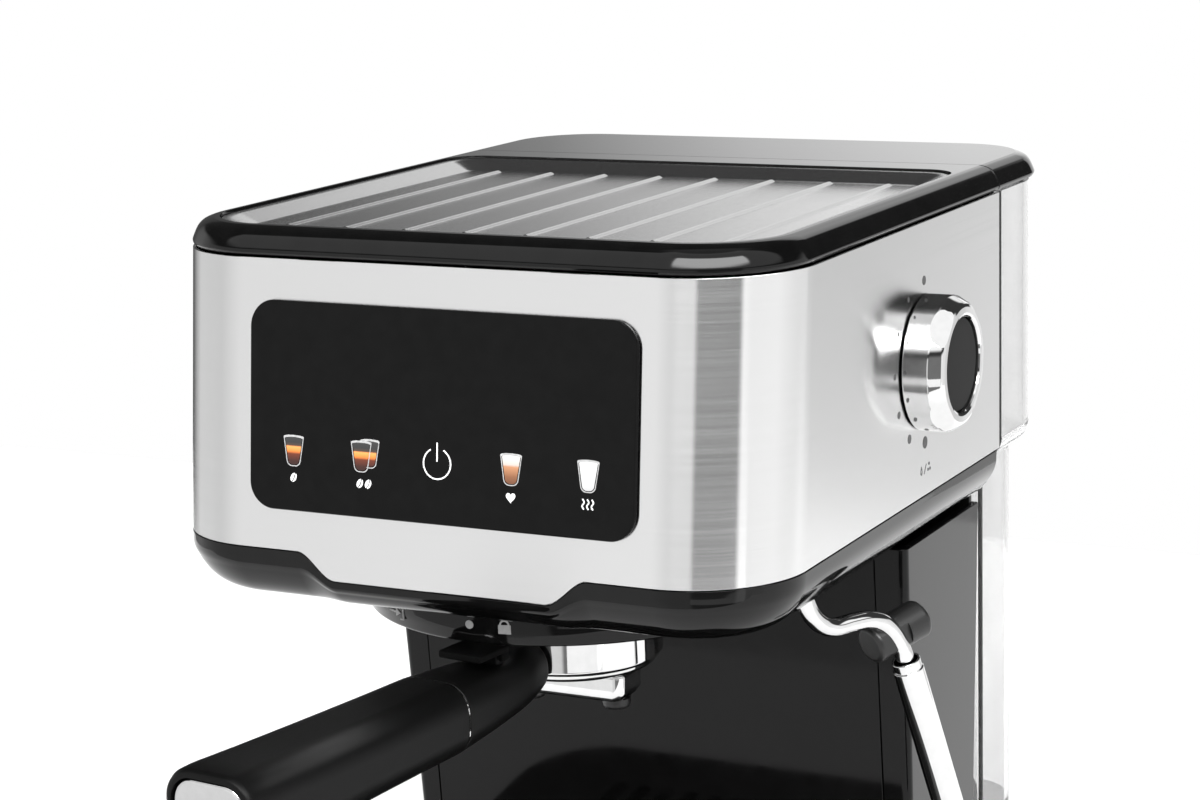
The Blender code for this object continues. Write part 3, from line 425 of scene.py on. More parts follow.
def brushed(name, stretch, tone, rough, turned_by, axis):
    """Brushed steel, streaked along the grain in colour, roughness and relief; (name, material)."""
    material, tree, shader = new_look(name, Metallic=1.0, Anisotropic=1.0, Anisotropic_Rotation=turned_by)
    streaks = noise(tree, 1.0, stretch, 4.0)
    colour = ramp(tree, streaks, [(0.3, tone * 0.97), (0.7, tone)])
    tree.links.new(colour, shader.inputs["Base Color"])
    tree.links.new(spread(tree, streaks, rough * 0.85, rough * 1.15), shader.inputs["Roughness"])
    tangent = add(tree, "Tangent", direction_type="RADIAL", axis=axis)
    tree.links.new(tangent.outputs["Tangent"], shader.inputs["Tangent"])
    bump(tree, shader, streaks, 0.03, 0.01)
    return name, material


def plain(name, dark, light, rough_low, rough_high, scale=900.0, relief=0.0, **values):
    """A finish whose colour and roughness wander a little, with a fine relief if asked; (name, material)."""
    material, tree, shader = new_look(name, **values)
    grain = noise(tree, scale)
    tree.links.new(ramp(tree, grain, [(0.3, dark), (0.7, light)]), shader.inputs["Base Color"])
    tree.links.new(spread(tree, grain, rough_low, rough_high), shader.inputs["Roughness"])
    if relief:
        bump(tree, shader, grain, relief, 0.05)
    return name, material


def upward_ramp(name, stops, glow):
    """A lit pictogram's colours from just under its glass to just over it; (name, material)."""
    foot, tall = (HEAD_Z + PANEL_MIDDLE - 18.5) * MM, 10.5 * MM
    material, tree, shader = new_look(name, Roughness=0.4, Emission_Strength=glow)
    place = add(tree, "TexCoord").outputs["Object"]
    height = add(tree, "SeparateXYZ", {"Vector": place}).outputs["Z"]
    colour = ramp(tree, mapped(tree, height, foot, foot + tall), stops)
    tree.links.new(colour, shader.inputs["Base Color"])
    tree.links.new(colour, shader.inputs["Emission Color"])
    return name, material


def make_looks():
    """Every finish by its name; a plain one has two tones, two roughnesses, its grain and its relief."""
    return dict([
        brushed("brushed_steel", (4.0, 4.0, 3200.0), 0.70, 0.165, 0.25, "Z"),
        plain("tray_steel", 0.56, 0.60, 0.20, 0.27, 1500.0, 0.01, Metallic=1.0),
        plain("chrome", 0.66, 0.70, 0.03, 0.06, 300.0, Metallic=1.0),
        plain("gloss_black", 0.0022, 0.0034, 0.05, 0.08, 120.0, Specular_IOR_Level=0.25),
        plain("column_black", 0.0022, 0.0034, 0.05, 0.08, 120.0, Specular_IOR_Level=0.18),
        plain("dull_black", 0.0015, 0.003, 0.70, 0.80, 3500.0, 0.12, Specular_IOR_Level=0.08),
        plain("satin_black", 0.006, 0.010, 0.34, 0.44, 2500.0, 0.10),
        plain("knob_grey", 0.018, 0.024, 0.75, 0.85, 2500.0, 0.10, Specular_IOR_Level=0.1),
        plain("grip_black", 0.0015, 0.003, 0.38, 0.46, 3500.0, 0.12, Specular_IOR_Level=0.13),
        plain("black_glass", 0.0035, 0.0045, 0.04, 0.06, 200.0, Specular_IOR_Level=0.08),
        plain("clear", 0.72, 0.76, 0.02, 0.05, 60.0, Transmission_Weight=1.0, IOR=1.4),
        plain("rubber", 0.020, 0.032, 0.70, 0.85, 1800.0, 0.2),
        plain("silicone", (0.60, 0.58, 0.53, 1), (0.70, 0.69, 0.65, 1), 0.45, 0.60, 500.0, 0.1,
              Subsurface_Weight=0.2),
        plain("aluminium", 0.42, 0.56, 0.38, 0.52, 1400.0, 0.3, Metallic=1.0),
        plain("brass", (0.55, 0.38, 0.14, 1), (0.66, 0.48, 0.20, 1), 0.22, 0.34, 700.0, 0.1, Metallic=1.0),
        plain("board_green", (0.010, 0.11, 0.04, 1), (0.02, 0.17, 0.06, 1), 0.35, 0.5, 260.0, 0.1),
        plain("copper_coil", (0.26, 0.04, 0.02, 1), (0.34, 0.07, 0.04, 1), 0.35, 0.5, 420.0, 0.2),
        plain("ink_white", 0.80, 0.88, 0.45, 0.55, 800.0, Emission_Strength=0.2, Emission_Color=grey(0.9)),
        plain("ink_grey", 0.30, 0.36, 0.45, 0.55, 800.0),
        plain("ink_dark", 0.05, 0.07, 0.45, 0.55, 800.0),
        plain("cup_glass", 0.30, 0.42, 0.3, 0.4, 900.0, Emission_Strength=0.1, Emission_Color=grey(0.7)),
        upward_ramp("espresso", [
            (0.0, (0.010, 0.003, 0.002, 1)), (0.22, (0.030, 0.006, 0.003, 1)),
            (0.42, (0.10, 0.018, 0.005, 1)), (0.50, (0.62, 0.17, 0.03, 1)), (0.62, (0.75, 0.27, 0.07, 1)),
            (0.66, (0.05, 0.03, 0.02, 1)), (0.75, 0.02), (1.0, 0.03)], 0.35),
        upward_ramp("latte", [
            (0.0, (0.08, 0.03, 0.015, 1)), (0.3, (0.20, 0.08, 0.035, 1)), (0.58, (0.42, 0.20, 0.10, 1)),
            (0.64, (0.48, 0.42, 0.38, 1)), (1.0, 0.62)], 0.12),
        upward_ramp("milk", [(0.0, 0.36), (0.2, 0.46), (1.0, 0.62)], 0.12),
    ])


LOOKS = make_looks()

# ---- head


def tongue(x):
    """How far the front's lower edge drops at x: fully in the middle, none near the corners."""
    t = min(max((TONGUE_OUTER - abs(x)) / (TONGUE_OUTER - TONGUE_INNER), 0.0), 1.0)
    return TONGUE_DROP * t * t * (3 - 2 * t)


def head_path(inset=0.0, back=HEAD_DEPTH):
    """The head's open outline in plan at the steel's lower edge: (x, y, moves with the lean)."""
    half, radius = HEAD_HALF - inset, HEAD_CORNER - inset
    edge = half - radius
    s_curve = [TONGUE_OUTER - (TONGUE_OUTER - TONGUE_INNER) * i / 14 for i in range(15)]
    front = [-x for x in s_curve] + s_curve[::-1]
    return [
        (-half, back, 0.0),
        (-half, (back + inset + radius) / 2, 0.0),
        *((x, y, 1.0) for x, y in arc((-edge, inset + radius), radius, 180, 270, 32)),
        *((x, inset, 1.0) for x in front),
        *((x, y, 1.0) for x, y in arc((edge, inset + radius), radius, 270, 360, 32)),
        (half, (back + inset + radius) / 2, 0.0),
        (half, back, 0.0),
    ]


def make_steel_wrap():
    """The brushed front and sides, with the touch panel's window and the hole for the knob's shaft."""
    rows = []
    for share in (0.0, 0.25, 0.5, 0.75, 1.0):
        row = []
        for x, y, leans in head_path():
            low = HEAD_Z - (tongue(x) if y < 1.0 else 0.0)
            z = low + (HEAD_Z + STEEL_TALL - low) * share
            row.append((x, y + leans * LEAN * (z - HEAD_Z), z))
        rows.append(row)
    bm = bmesh.new()
    skin(bm, rows)
    window = slab((-58.0, -26.3, -20.0), (58.0, 25.7, 20.0))
    shaft_hole = rod(5.0, 10.0, -10.0)
    piece("steel_wrap_skin", bm, "brushed_steel", "machine", ["steel_wrap"], thick=1.0, edge=0.25,
          cutters=[(window, PANEL), (shaft_hole, KNOB)])


def make_touch_panel():
    half, tall, corner = 65.5, 31.9, 8.3
    profile = [(0.0, GAP), (0.0, 1.2), (0.25, 1.62), (0.7, 1.8)]
    bm = stack(half, -tall, tall, corner, corner, profile)
    piece("touch_panel_glass", bm, "black_glass", "machine", ["touch_panel"], PANEL)


def cup_outline(half_top, half_low, tall, corner=1.9, steps=8):
    """A tumbler seen from the side, its foot at 0."""
    return [
        *arc((-half_low + corner, corner), corner, 190, 270, steps),
        *arc((half_low - corner, corner), corner, 270, 350, steps),
        (half_top, tall), *[(half_top * cos(a), tall + 0.55 * sin(a))
                            for a in (0.5, 1.0, 1.57, 2.14, 2.64)], (-half_top, tall),
    ]


def band(outline, width, low, high):
    """A raised line of this width just inside a closed outline."""
    middle = Vector((sum(x for x, _ in outline), sum(y for _, y in outline))) / len(outline)
    half = max(abs(x - middle.x) for x, _ in outline)
    share = 1.0 - width / half
    inner = [tuple(middle + (Vector(point) - middle) * share) for point in outline]
    bm = bmesh.new()
    rows = [[(x, y, z) for x, y in points]
            for points, z in ((outline, low), (outline, high), (inner, high), (inner, low), (outline, low))]
    skin(bm, rows, closed=True)
    bmesh.ops.remove_doubles(bm, verts=bm.verts, dist=1e-6)
    agree(bm)
    return bm


def stroke(points, width, low, high):
    """A raised line along an open path in the plane."""
    points = [Vector(point) for point in points]
    left, right = [], []
    for i, point in enumerate(points):
        ahead = (points[min(i + 1, len(points) - 1)] - points[max(i - 1, 0)]).normalized()
        side = Vector((-ahead.y, ahead.x)) * width / 2
        left.append(tuple(point + side))
        right.append(tuple(point - side))
    edges = ((left, low), (left, high), (right, high), (right, low), (left, low))
    bm = bmesh.new()
    skin(bm, [[(x, y, z) for x, y in line] for line, z in edges])
    bmesh.ops.holes_fill(bm, edges=bm.edges, sides=0)
    bmesh.ops.remove_doubles(bm, verts=bm.verts, dist=1e-6)
    agree(bm)
    return bm


# The lit row on the panel: how far it stands out, its lines' width, and where its signs are.
GLYPH_FACE, GLYPH_PROUD, GLYPH_LINE = 1.82, 1.90, 0.42
GLASS_ROW, LABEL_ROW = -18.2, -21.6
SINGLE_X, DOUBLE_X, POWER_X, LATTE_X, MILK_X = -49.5, -24.6, 0.5, 25.3, 50.5


def tumbler(x, lift=0.0, scale=1.0, depth=0.0):
    """A glass and what fills it, as two (bmesh, matrix) pairs."""
    outline = [(u * scale, v * scale) for u, v in cup_outline(3.6, 2.5, 9.0)]
    inner = [(u * scale, v * scale + 0.55) for u, v in cup_outline(3.0, 1.95, 7.9, 1.5)]
    where = shift(x, GLASS_ROW + lift, depth)
    glass = band(outline, 0.34, GLYPH_FACE, GLYPH_PROUD + 0.03)
    return (glass, where), (prism(inner, GLYPH_FACE, GLYPH_PROUD), where)


def make_pictogram_glasses():
    """A cup, two cups, a milk coffee and a glass of milk."""
    behind, before = tumbler(DOUBLE_X + 2.0, 1.4, 0.92), tumbler(DOUBLE_X - 1.0, depth=0.06)
    drinks = {
        "espresso": [tumbler(SINGLE_X), behind, before],
        "latte": [tumbler(LATTE_X)],
        "milk": [tumbler(MILK_X)],
    }
    glasses = [glass for pairs in drinks.values() for glass, _ in pairs]
    piece("pictogram_glasses", merged(*glasses), "cup_glass", "machine", where=PANEL)
    for kind, pairs in drinks.items():
        piece("pictogram_" + kind, merged(*[fill for _, fill in pairs]), kind, "machine", where=PANEL)


def bean(tilt_deg):
    """A coffee bean: two halves with a curved gap between them."""
    low, high = 1.8, 1.88
    angles = [radians(-80 + 160 * i / 12) for i in range(13)]
    shares = [i / 8 for i in range(9)]
    halves = []
    for side in (-1, 1):
        rim = [(side * cos(a), 1.45 * sin(a)) for a in angles]
        crease = [(side * 0.16 + 0.22 * sin(pi * t), 1.3 * (1 - 2 * t)) for t in shares]
        halves.append((prism(rim + crease, low, high), turn(tilt_deg, "Z")))
    return halves


def heart():
    """A heart's outline, about 3 mm across."""
    angles = [tau * i / 32 for i in range(32)]
    return [(1.55 * sin(a) ** 3,
             0.105 * (13 * cos(a) - 5 * cos(2 * a) - 2 * cos(3 * a) - cos(4 * a)))
            for a in angles]


def make_pictogram_lines():
    """The power sign, and the labels under the glasses: one bean, two beans, a heart and steam."""
    raised = GLYPH_LINE, GLYPH_FACE, GLYPH_PROUD
    ring = stroke(arc((POWER_X, -13.6), 4.6, 118, 422, 40), *raised)
    bar = stroke([(POWER_X, -13.0), (POWER_X, -7.4)], *raised)
    marks = in_place(ring, bar)
    for x in (SINGLE_X, DOUBLE_X - 1.45, DOUBLE_X + 1.45):
        marks += [(part, shift(x, LABEL_ROW, 0.0) @ where) for part, where in bean(-25.0)]
    marks.append((prism(heart(), GLYPH_FACE, GLYPH_PROUD), shift(LATTE_X, LABEL_ROW, 0.0)))
    for x in (-1.5, 0.0, 1.5):
        wave = [(x + 0.32 * sin(v * 2.6), v) for v in [-1.5 + 3.0 * i / 12 for i in range(13)]]
        marks.append((stroke(wave, *raised), shift(MILK_X, LABEL_ROW, 0.0)))
    piece("pictogram_lines", merged(*marks), "ink_white", "machine", where=PANEL)


def nose_profile():
    """The bullnose that the rim and the lid share, as (inset, height)."""
    nose = [(0.5, RIM_Z + 0.4), (0.0, HEAD_Z + 90.2), (0.4, HEAD_Z + 91.6), (1.6, HEAD_Z + 94.1),
            (3.1, HEAD_Z + 95.8), (5.0, HEAD_Z + 96.7), (7.0, TOP_Z)]
    return [(1.2, RIM_Z), *((max(inset, 0.0), min(z, TOP_Z)) for inset, z in smooth_path(nose, 5))]


def make_top_rim():
    """The glossy rim round the tray's recess."""
    front, recess_z, clear = LEAN * STEEL_TALL, HEAD_Z + 91.6, 0.5
    recess = rounded(TRAY_HALF + GAP, TRAY_FRONT - GAP, TRAY_BACK + GAP,
                     TRAY_FRONT_R + clear, TRAY_BACK_R + clear)

    def level(inset, z):
        return rounded(HEAD_HALF - inset, front + inset, HEAD_DEPTH, HEAD_CORNER - inset, 0.5), z

    bm = loft([*(level(inset, z) for inset, z in nose_profile()), (recess, TOP_Z), (recess, recess_z)])
    piece("top_rim_shell", bm, "gloss_black", "machine", ["top_rim"])


def tray_rib():
    """A rounded rib of the warming tray, standing in its middle."""
    half, rise, narrowing, low = 1.8, 0.75, 1.75, HEAD_Z + 92.95
    corner = half - 0.01
    section = [(narrowing * t, low + rise * (0.5 - 0.5 * cos(pi * t)))
               for t in [step / 8 for step in range(9)]]
    return stack(half, RIB_FRONT, RIB_BACK, corner, corner, section, 8)


def make_warming_tray():
    """The stamped pan and its ribs."""
    def level(inset, z):
        return rounded(TRAY_HALF - inset, TRAY_FRONT + inset, TRAY_BACK - inset,
                       TRAY_FRONT_R - inset, TRAY_BACK_R - inset * 0.8), z

    floor_inset, floor_z = 13.5, HEAD_Z + 93.0
    section = soften([(0.0, HEAD_Z + 92.2), (0.0, HEAD_Z + 96.5), (2.4, HEAD_Z + 96.4), (10.2, floor_z),
                      (floor_inset, floor_z)], 1.2, 6)
    parts = in_place(loft([level(min(inset, floor_inset), z) for inset, z in section]))
    first = 0.4 - RIB_PITCH * (RIB_COUNT - 1) / 2
    parts += [(tray_rib(), shift(first + RIB_PITCH * i, 0.0, 0.0)) for i in range(RIB_COUNT)]
    piece("warming_tray_pan", merged(*parts), "tray_steel", "machine", ["warming_tray"], sharp_deg=50.0)


def plane_with_holes(bm, outer, holes, z):
    """A flat face inside the outer ring of vertices, with outlines left open."""
    edges = [bm.edges.get((a, b)) or bm.edges.new((a, b)) for a, b in zip(outer, outer[1:] + outer[:1])]
    for hole in holes:
        ring = [bm.verts.new((x, y, z)) for x, y in hole]
        edges += [bm.edges.new((a, b)) for a, b in zip(ring, ring[1:] + ring[:1])]
    bmesh.ops.triangle_fill(bm, use_beauty=True, edges=edges, normal=(0.0, 0.0, -1.0))


def point_down(bm, pick):
    """Turn the faces the same way, so that the one that this picks points down."""
    agree(bm)
    if pick(bm.faces).normal.z > 0:
        bmesh.ops.reverse_faces(bm, faces=bm.faces)


def make_lower_bezel():
    """The glossy underside of the head, open round the group and over the column, with the wand's hole."""
    # (inset, share of the way from the steel's edge down to the floor)
    section = smooth_path([(0.0, 0.0), (0.4, 0.27), (2.2, 0.50), (5.2, 0.72), (9.2, 0.88), (14.5, 0.975),
                           (20.0, 1.0)], 5)
    rows = []
    for inset, share in section:
        inset, row = max(inset, 0.0), []
        for x, y, leans in head_path(inset, COLUMN_BACK):
            high = HEAD_Z - GAP - (tongue(x) if y < inset + 1.0 else 0.0)
            z = high + (BEZEL_FLOOR_Z - high) * min(share, 1.0)
            fade = max(0.0, 1.0 - inset)
            row.append((x, y + leans * fade * LEAN * (z - HEAD_Z), z))
        rows.append(row)
    bm = bmesh.new()
    grid = skin(bm, rows[::-1])
    group_hole = circle((0.0, GROUP_Y), 48.0, 96)
    column_hole = [(-60.0, 142.0), (60.0, 142.0), (60.0, 196.0), (-60.0, 196.0)]
    plane_with_holes(bm, grid[0], [group_hole, column_hole], BEZEL_FLOOR_Z)
    point_down(bm, lambda faces: max(faces, key=lambda face: face.calc_area()))
    wand_hole = rod(WAND_HOLE_R, -5.0, 9.0, 48)
    piece("lower_bezel_shell", bm, "gloss_black", "machine", ["lower_bezel"], thick=2.2, edge=0.3,
          cutters=[(wand_hole, WAND @ shift(0.0, 0.0, BEZEL_FLOOR_Z))])


# ---- column, base and tank


def column_front_y(z):
    return COLUMN_FRONT + COLUMN_LEAN * (COLUMN_MARK_Z - z)


def column_half(z):
    return COLUMN_HALF + COLUMN_TAPER * (z - COLUMN_MARK_Z)


def column_wall(name, rows):
    bm = bmesh.new()
    skin(bm, rows)
    piece(name + "_wall", bm, "column_black", "machine", [name], thick=COLUMN_WALL, edge=0.3)


def make_column():
    """Two side walls that reach round the front corners, and the front between their seams."""
    corner = 3.0
    low, high = BASE_TOP + GAP, BEZEL_FLOOR_Z - GAP
    for name, side in (("column_side_left", -1), ("column_side_right", 1)):
        rows = []
        for z in (low, high):
            half, front = column_half(z), column_front_y(z)
            outline = [(COLUMN_SEAM, front), *arc((half - corner, front + corner), corner, 270, 360, 12),
                       (half, COLUMN_BACK)]
            rows.append([(side * x, y, z) for x, y in outline])
        column_wall(name, rows[::side])
    seams = (GAP - COLUMN_SEAM, COLUMN_SEAM - GAP)
    column_wall("column_front", [[(x, column_front_y(z), z) for x in seams] for z in (low, high)])


def make_back_panel():
    """The flat back of column and head, which is wider from the head up."""
    low, step_low, step_high, high = BASE_TOP + GAP, HEAD_Z, HEAD_Z + 2.0, RIM_Z - GAP
    column, head = 94.0, 102.6
    outline = [(-column, low), (column, low), (column, step_low), (head, step_high), (head, high),
               (-head, high), (-head, step_high), (-column, step_low)]
    piece("back_panel_sheet", prism(outline, 0.0, 2.2), "satin_black", "machine", ["back_panel"],
          shift(0.0, HEAD_DEPTH - GAP, 0.0) @ turn(90.0, "X"), edge=0.4)


def make_base_body():
    """The base, cut out for the drip tray, its own inside, the tank's well, the column and the gland."""
    section = soften([(4.0, 7.0), (2.0, 7.0), (0.0, 9.0), (0.0, BASE_TOP), (3.0, BASE_TOP)], 1.2)
    body = stack(BASE_HALF, BASE_FRONT, BASE_BACK, BASE_CORNER, BASE_CORNER, section)
    tray_bay = slab((-120.0, -20.0, 13.0), (120.0, BAY_BACK, 80.0))
    inside = slab((-88.0, BAY_BACK + 4.0, 0.0), (88.0, 246.0, BASE_TOP - 3.0))
    tank_well = slab((-80.0, 213.0, BASE_TOP - 8.0), (80.0, 246.0, BASE_TOP + 8.0))
    column_hole = slab((-70.0, 150.0, BASE_TOP - 8.0), (70.0, 196.0, BASE_TOP + 4.0))
    gland = rod(6.3, 300.0, 220.0), shift(62.0, 0.0, 28.0) @ turn(-90.0, "X")
    piece("base_body", body, "gloss_black", "machine", ["base_shell"],
          cutters=[*in_place(tray_bay, inside, tank_well, column_hole), gland])


def make_plinth():
    """The raised part of the base that the tank stands on, with the seat of its valve."""
    half, front, back = TANK_HALF - TANK_STEP, TANK_FRONT + 1.0, TANK_BACK - TANK_STEP
    corner = TANK_CORNER - TANK_STEP
    section = soften([(0.0, BASE_TOP - 1.0), (0.0, PLINTH_TOP), (2.0, PLINTH_TOP)], 1.2)
    plinth = stack(half, front, back, 4.0, corner, section)
    well = slab((-80.0, 213.0, BASE_TOP - 8.0), (80.0, 246.0, PLINTH_TOP - 3.0))
    seat = rod(9.0, 100.0, 60.0, 48), shift(0.0, VALVE_Y, 0.0)
    piece("base_plinth", plinth, "gloss_black", "machine", cutters=[*in_place(well), seat])


def make_drip_tray():
    """An open tub; its back corners are tighter inside and underneath."""
    def level(inset, z):
        return rounded(BASE_HALF - inset, DRIP_FRONT + inset, BAY_BACK - 0.5 - inset,
                       BASE_CORNER - inset, 3.0 if inset < 3.0 else 1.0), z

    section = soften([(30.0, 13.3), (3.0, 13.3), (0.0, 20.0), (0.0, 50.0), (2.2, 50.0), (2.2, 20.6),
                      (4.6, 15.5), (30.0, 15.5)], 1.0)
    bm = loft([level(inset, z) for inset, z in section])
    piece("drip_tray_tub", bm, "gloss_black", "drip_tray", ["drip_tray"])


def make_drip_grid():
    section = soften([(3.0, 50.3), (0.0, 50.3), (0.0, 52.6), (3.0, 52.6)], 0.7)
    bm = stack(BASE_HALF, DRIP_FRONT, GRID_BACK, BASE_CORNER, 4.0, section)
    slot = rounded(3.0, 50.0, 118.0, 2.9, 2.9, 6)
    slots = [(prism(slot, 40.0, 60.0), shift(x, 0.0, 0.0)) for x in range(-60, 61, 10)]
    piece("drip_grid_plate", bm, "satin_black", "drip_grid", ["drip_grid"], cutters=slots)


def make_tank():
    """The clear tank, narrower below the head, with the hole for its valve."""
    def row(inset, z):
        outline = rounded(TANK_HALF - inset, TANK_FRONT, TANK_BACK - inset, 4.0, TANK_CORNER - inset)
        return [(x, y, z) for x, y in outline]

    step, floor = TANK_STEP, PLINTH_TOP + GAP
    shoulder = smooth_path([(step, HEAD_Z - 9.0), (step, HEAD_Z - 7.5), (step - 0.6, HEAD_Z - 5.4),
                            (1.6, HEAD_Z - 2.6), (0.0, HEAD_Z + 1.0), (0.0, HEAD_Z + 3.0)], 4)
    section = [(step, floor), *shoulder, (0.0, HEAD_Z + 88.0)]
    bm = bmesh.new()
    grid = skin(bm, [row(inset, z) for inset, z in section], closed=True)
    plane_with_holes(bm, grid[0], [circle((0.0, VALVE_Y), 7.0, 48)], floor)
    point_down(bm, lambda faces: min(faces, key=lambda face: face.calc_center_median().z))
    piece("water_tank_shell", bm, "clear", "water_tank", ["water_tank"], thick=TANK_WALL, edge=0.4)


def make_tank_ears():
    """Two ears that carry the lid's hinge pin."""
    ears = []
    for x in (-18.3, 18.3):
        web = slab((x - 2.0, TANK_BACK - 1.5, LID_HINGE_Z - 8.3), (x + 2.0, LID_HINGE_Y + 2.3, LID_HINGE_Z))
        ears += in_place(web)
        ears.append((eye(2.0), shift(x, LID_HINGE_Y, LID_HINGE_Z) @ turn(90.0, "Y")))
    piece("water_tank_ears", merged(*ears), "clear", "water_tank")


def make_lid():
    """The lid, hollow underneath, and the knuckle between the tank's ears."""
    def level(inset, z):
        return rounded(HEAD_HALF - inset, HEAD_DEPTH + 0.4, LID_BACK - inset, 0.5, LID_CORNER - inset), z

    (inset, z), *rest = nose_profile()
    bm = loft([level(*point) for point in ((inset, z + GAP), *rest)])
    pocket = slab((-94.0, 210.0, LID_HINGE_Z), (94.0, 256.0, HEAD_Z + 94.6))
    piece("tank_lid_shell", bm, "gloss_black", "tank_lid", ["tank_lid"], cutters=in_place(pocket))
    reach, y, z = 15.8, LID_HINGE_Y, LID_HINGE_Z
    web = slab((-reach, y - 1.5, z + 2.0), (reach, y + 1.5, z + 4.0))
    knuckle = merged((eye(reach), shift(0.0, y, z) @ turn(90.0, "Y")), *in_place(web))
    piece("tank_lid_knuckle", knuckle, "gloss_black", "tank_lid")


# ---- brewing group and filter holder


def make_collar():
    """The collar round the group, cut off where the column's front stands."""
    floor, inner = BEZEL_FLOOR_Z - GAP, 47.0
    profile = soften([(inner, floor), (66.4, floor), (COLLAR_WALL_R, HEAD_Z - 24.0), (COLLAR_R, COLLAR_Z),
                      (50.0, COLLAR_Z), (inner, floor)], 1.2)
    wall_line = column_front_y(floor) - 1.0
    behind = slab((-90.0, wall_line, 178.0), (90.0, wall_line + 66.0, 218.0))
    piece("group_collar_ring", turned(profile, 160), "gloss_black", "machine", ["group_collar"],
          shift(0.0, GROUP_Y, 0.0), cutters=in_place(behind))


def around_collar(bm, radius):
    """Wrap a flat mark round the collar: x runs round it from the front, z is how far it stands proud."""
    for vertex in bm.verts:
        x, y, z = vertex.co
        angle = x / radius
        vertex.co = ((radius + z) * sin(angle), -(radius + z) * cos(angle), y)
    return bm


def make_collar_marks():
    """An arrow with a bracket where the holder goes in, and a dot with a padlock where it locks."""
    low, high = -0.10, 0.28
    marks = in_place(
        prism(circle((0.0, 0.0), 1.35, 24), low, high),
        slab((9.6, -2.1, low), (13.6, 0.7, high)),
        stroke(arc((11.6, 0.7), 1.35, 0, 180, 12), 0.55, low, high),
        stroke([(-35.0, -1.0), (-30.4, -1.0)], 0.6, low, high),
        prism([(-31.2, -2.3), (-28.8, -1.0), (-31.2, 0.3)], low, high),
        stroke([(-29.0, 0.9), (-27.4, 0.9), (-27.4, -2.9), (-29.0, -2.9)], 0.5, low, high),
    )
    bm = around_collar(merged(*marks), COLLAR_WALL_R)
    piece("collar_marks", bm, "ink_grey", "machine", where=shift(0.0, GROUP_Y, HEAD_Z - 22.6))


def make_filter_holder():
    """The cup and the two lugs that hold it in the group."""
    low, top = HOLDER_LOW, HEAD_Z - 20.0
    profile = [(27.4, low + 2.6), (27.4, top), (HOLDER_R, top), (HOLDER_R, low + 0.8),
               (HOLDER_R - 0.9, low), (28.0, low - 0.2), (27.6, low - 1.6), (26.2, low - 2.6),
               (20.0, low - 4.4), (3.0, low - 4.4), (3.0, low + 2.6)]
    cup = turned(soften(profile, 0.6), 128)
    piece("filter_holder_cup", cup, "chrome", "filter_holder", ["filter_holder"], HOLDER)
    lugs = [slab((-6.0, y - 3.8, HEAD_Z - 24.0), (6.0, y + 3.8, HEAD_Z - 21.0)) for y in (-32.6, 32.6)]
    piece("filter_holder_lugs", merged(*in_place(*lugs)), "chrome", "filter_holder", where=HOLDER, edge=0.4)


def make_basket():
    floor, rim = 177.9, HEAD_Z - 19.6
    profile = [(0.0, floor), (25.2, floor), (26.3, rim), (29.2, rim), (29.2, rim + 0.8), (25.9, rim + 0.8),
               (24.7, floor + 0.8), (0.0, floor + 0.8)]
    basket = turned(soften(profile, 0.6), 96)
    piece("filter_basket_cup", basket, "chrome", "filter_holder", ["filter_basket"], HOLDER)


def make_spout():
    """The double spout, which is square with the machine although the handle is not."""
    top, low = HOLDER_LOW - 4.4 - GAP, HEAD_Z - 63.2
    square = HOLDER @ turn(-HOLDER_TURN, "Z")
    foot = rounded(19.5, -7.0, 7.0, 3.0, 3.0, 6)
    body = rounded(21.5, -8.5, 8.5, 3.5, 3.5, 6)
    block = loft([(foot, low), (body, low + 3.0), (body, top)])
    piece("spout_block_body", block, "chrome", "filter_holder", ["spout_block"], square, edge=0.8)
    tip = soften([(4.6, low - GAP), (4.6, low - 2.4), (3.9, low - 3.6), (2.2, low - 3.6),
                  (2.2, low - GAP)], 0.5)
    for name, x in (("spout_nozzle_left", -15.5), ("spout_nozzle_right", 15.5)):
        piece(name + "_tip", turned(tip, 48, loop=True), "satin_black", "filter_holder", [name],
              square @ shift(x, 0.0, 0.0))


def handle_section(distance, wide, tall, radius, lift=0.0):
    """A section across the handle, this far from the group's middle."""
    outline = rounded(wide / 2, -tall / 2, tall / 2, radius, radius, 12)
    return [(x, z + lift) for x, z in outline], distance


def handle_loft(sections):
    return loft([handle_section(*section) for section in sections])


def make_handle_neck():
    """The neck, and the saddle on it that carries the basket clip."""
    neck = smooth_path([
        (HOLDER_R + GAP, 22.0, 17.0, 8.0, 3.4), (36.0, 24.0, 18.5, 8.5, 2.2), (44.0, 26.0, 17.0, 8.0, 0.6),
        (60.0, 28.0, 20.0, 8.5, 0.2), (76.8, 29.6, 22.8, 9.1, 0.0)], 6)
    piece("handle_neck_body", handle_loft(neck), "grip_black", "filter_holder", ["handle_neck"],
          ALONG_HANDLE, edge=0.5)
    saddle = slab((-5.4, CLIP_Y - 2.0, HEAD_Z - 45.0), (5.4, CLIP_Y + 2.0, CLIP_Z + 0.6))
    piece("handle_neck_saddle", saddle, "grip_black", "filter_holder", where=HOLDER, edge=0.5)


def make_handle_ring():
    ring = handle_loft([(76.9, 29.0, 22.2, 8.8), (77.0, 29.4, 22.6, 9.0), (77.4, 29.4, 22.6, 9.0),
                        (77.5, 29.0, 22.2, 8.8)])
    piece("handle_ring_band", ring, "chrome", "filter_holder", ["handle_ring"], ALONG_HANDLE)


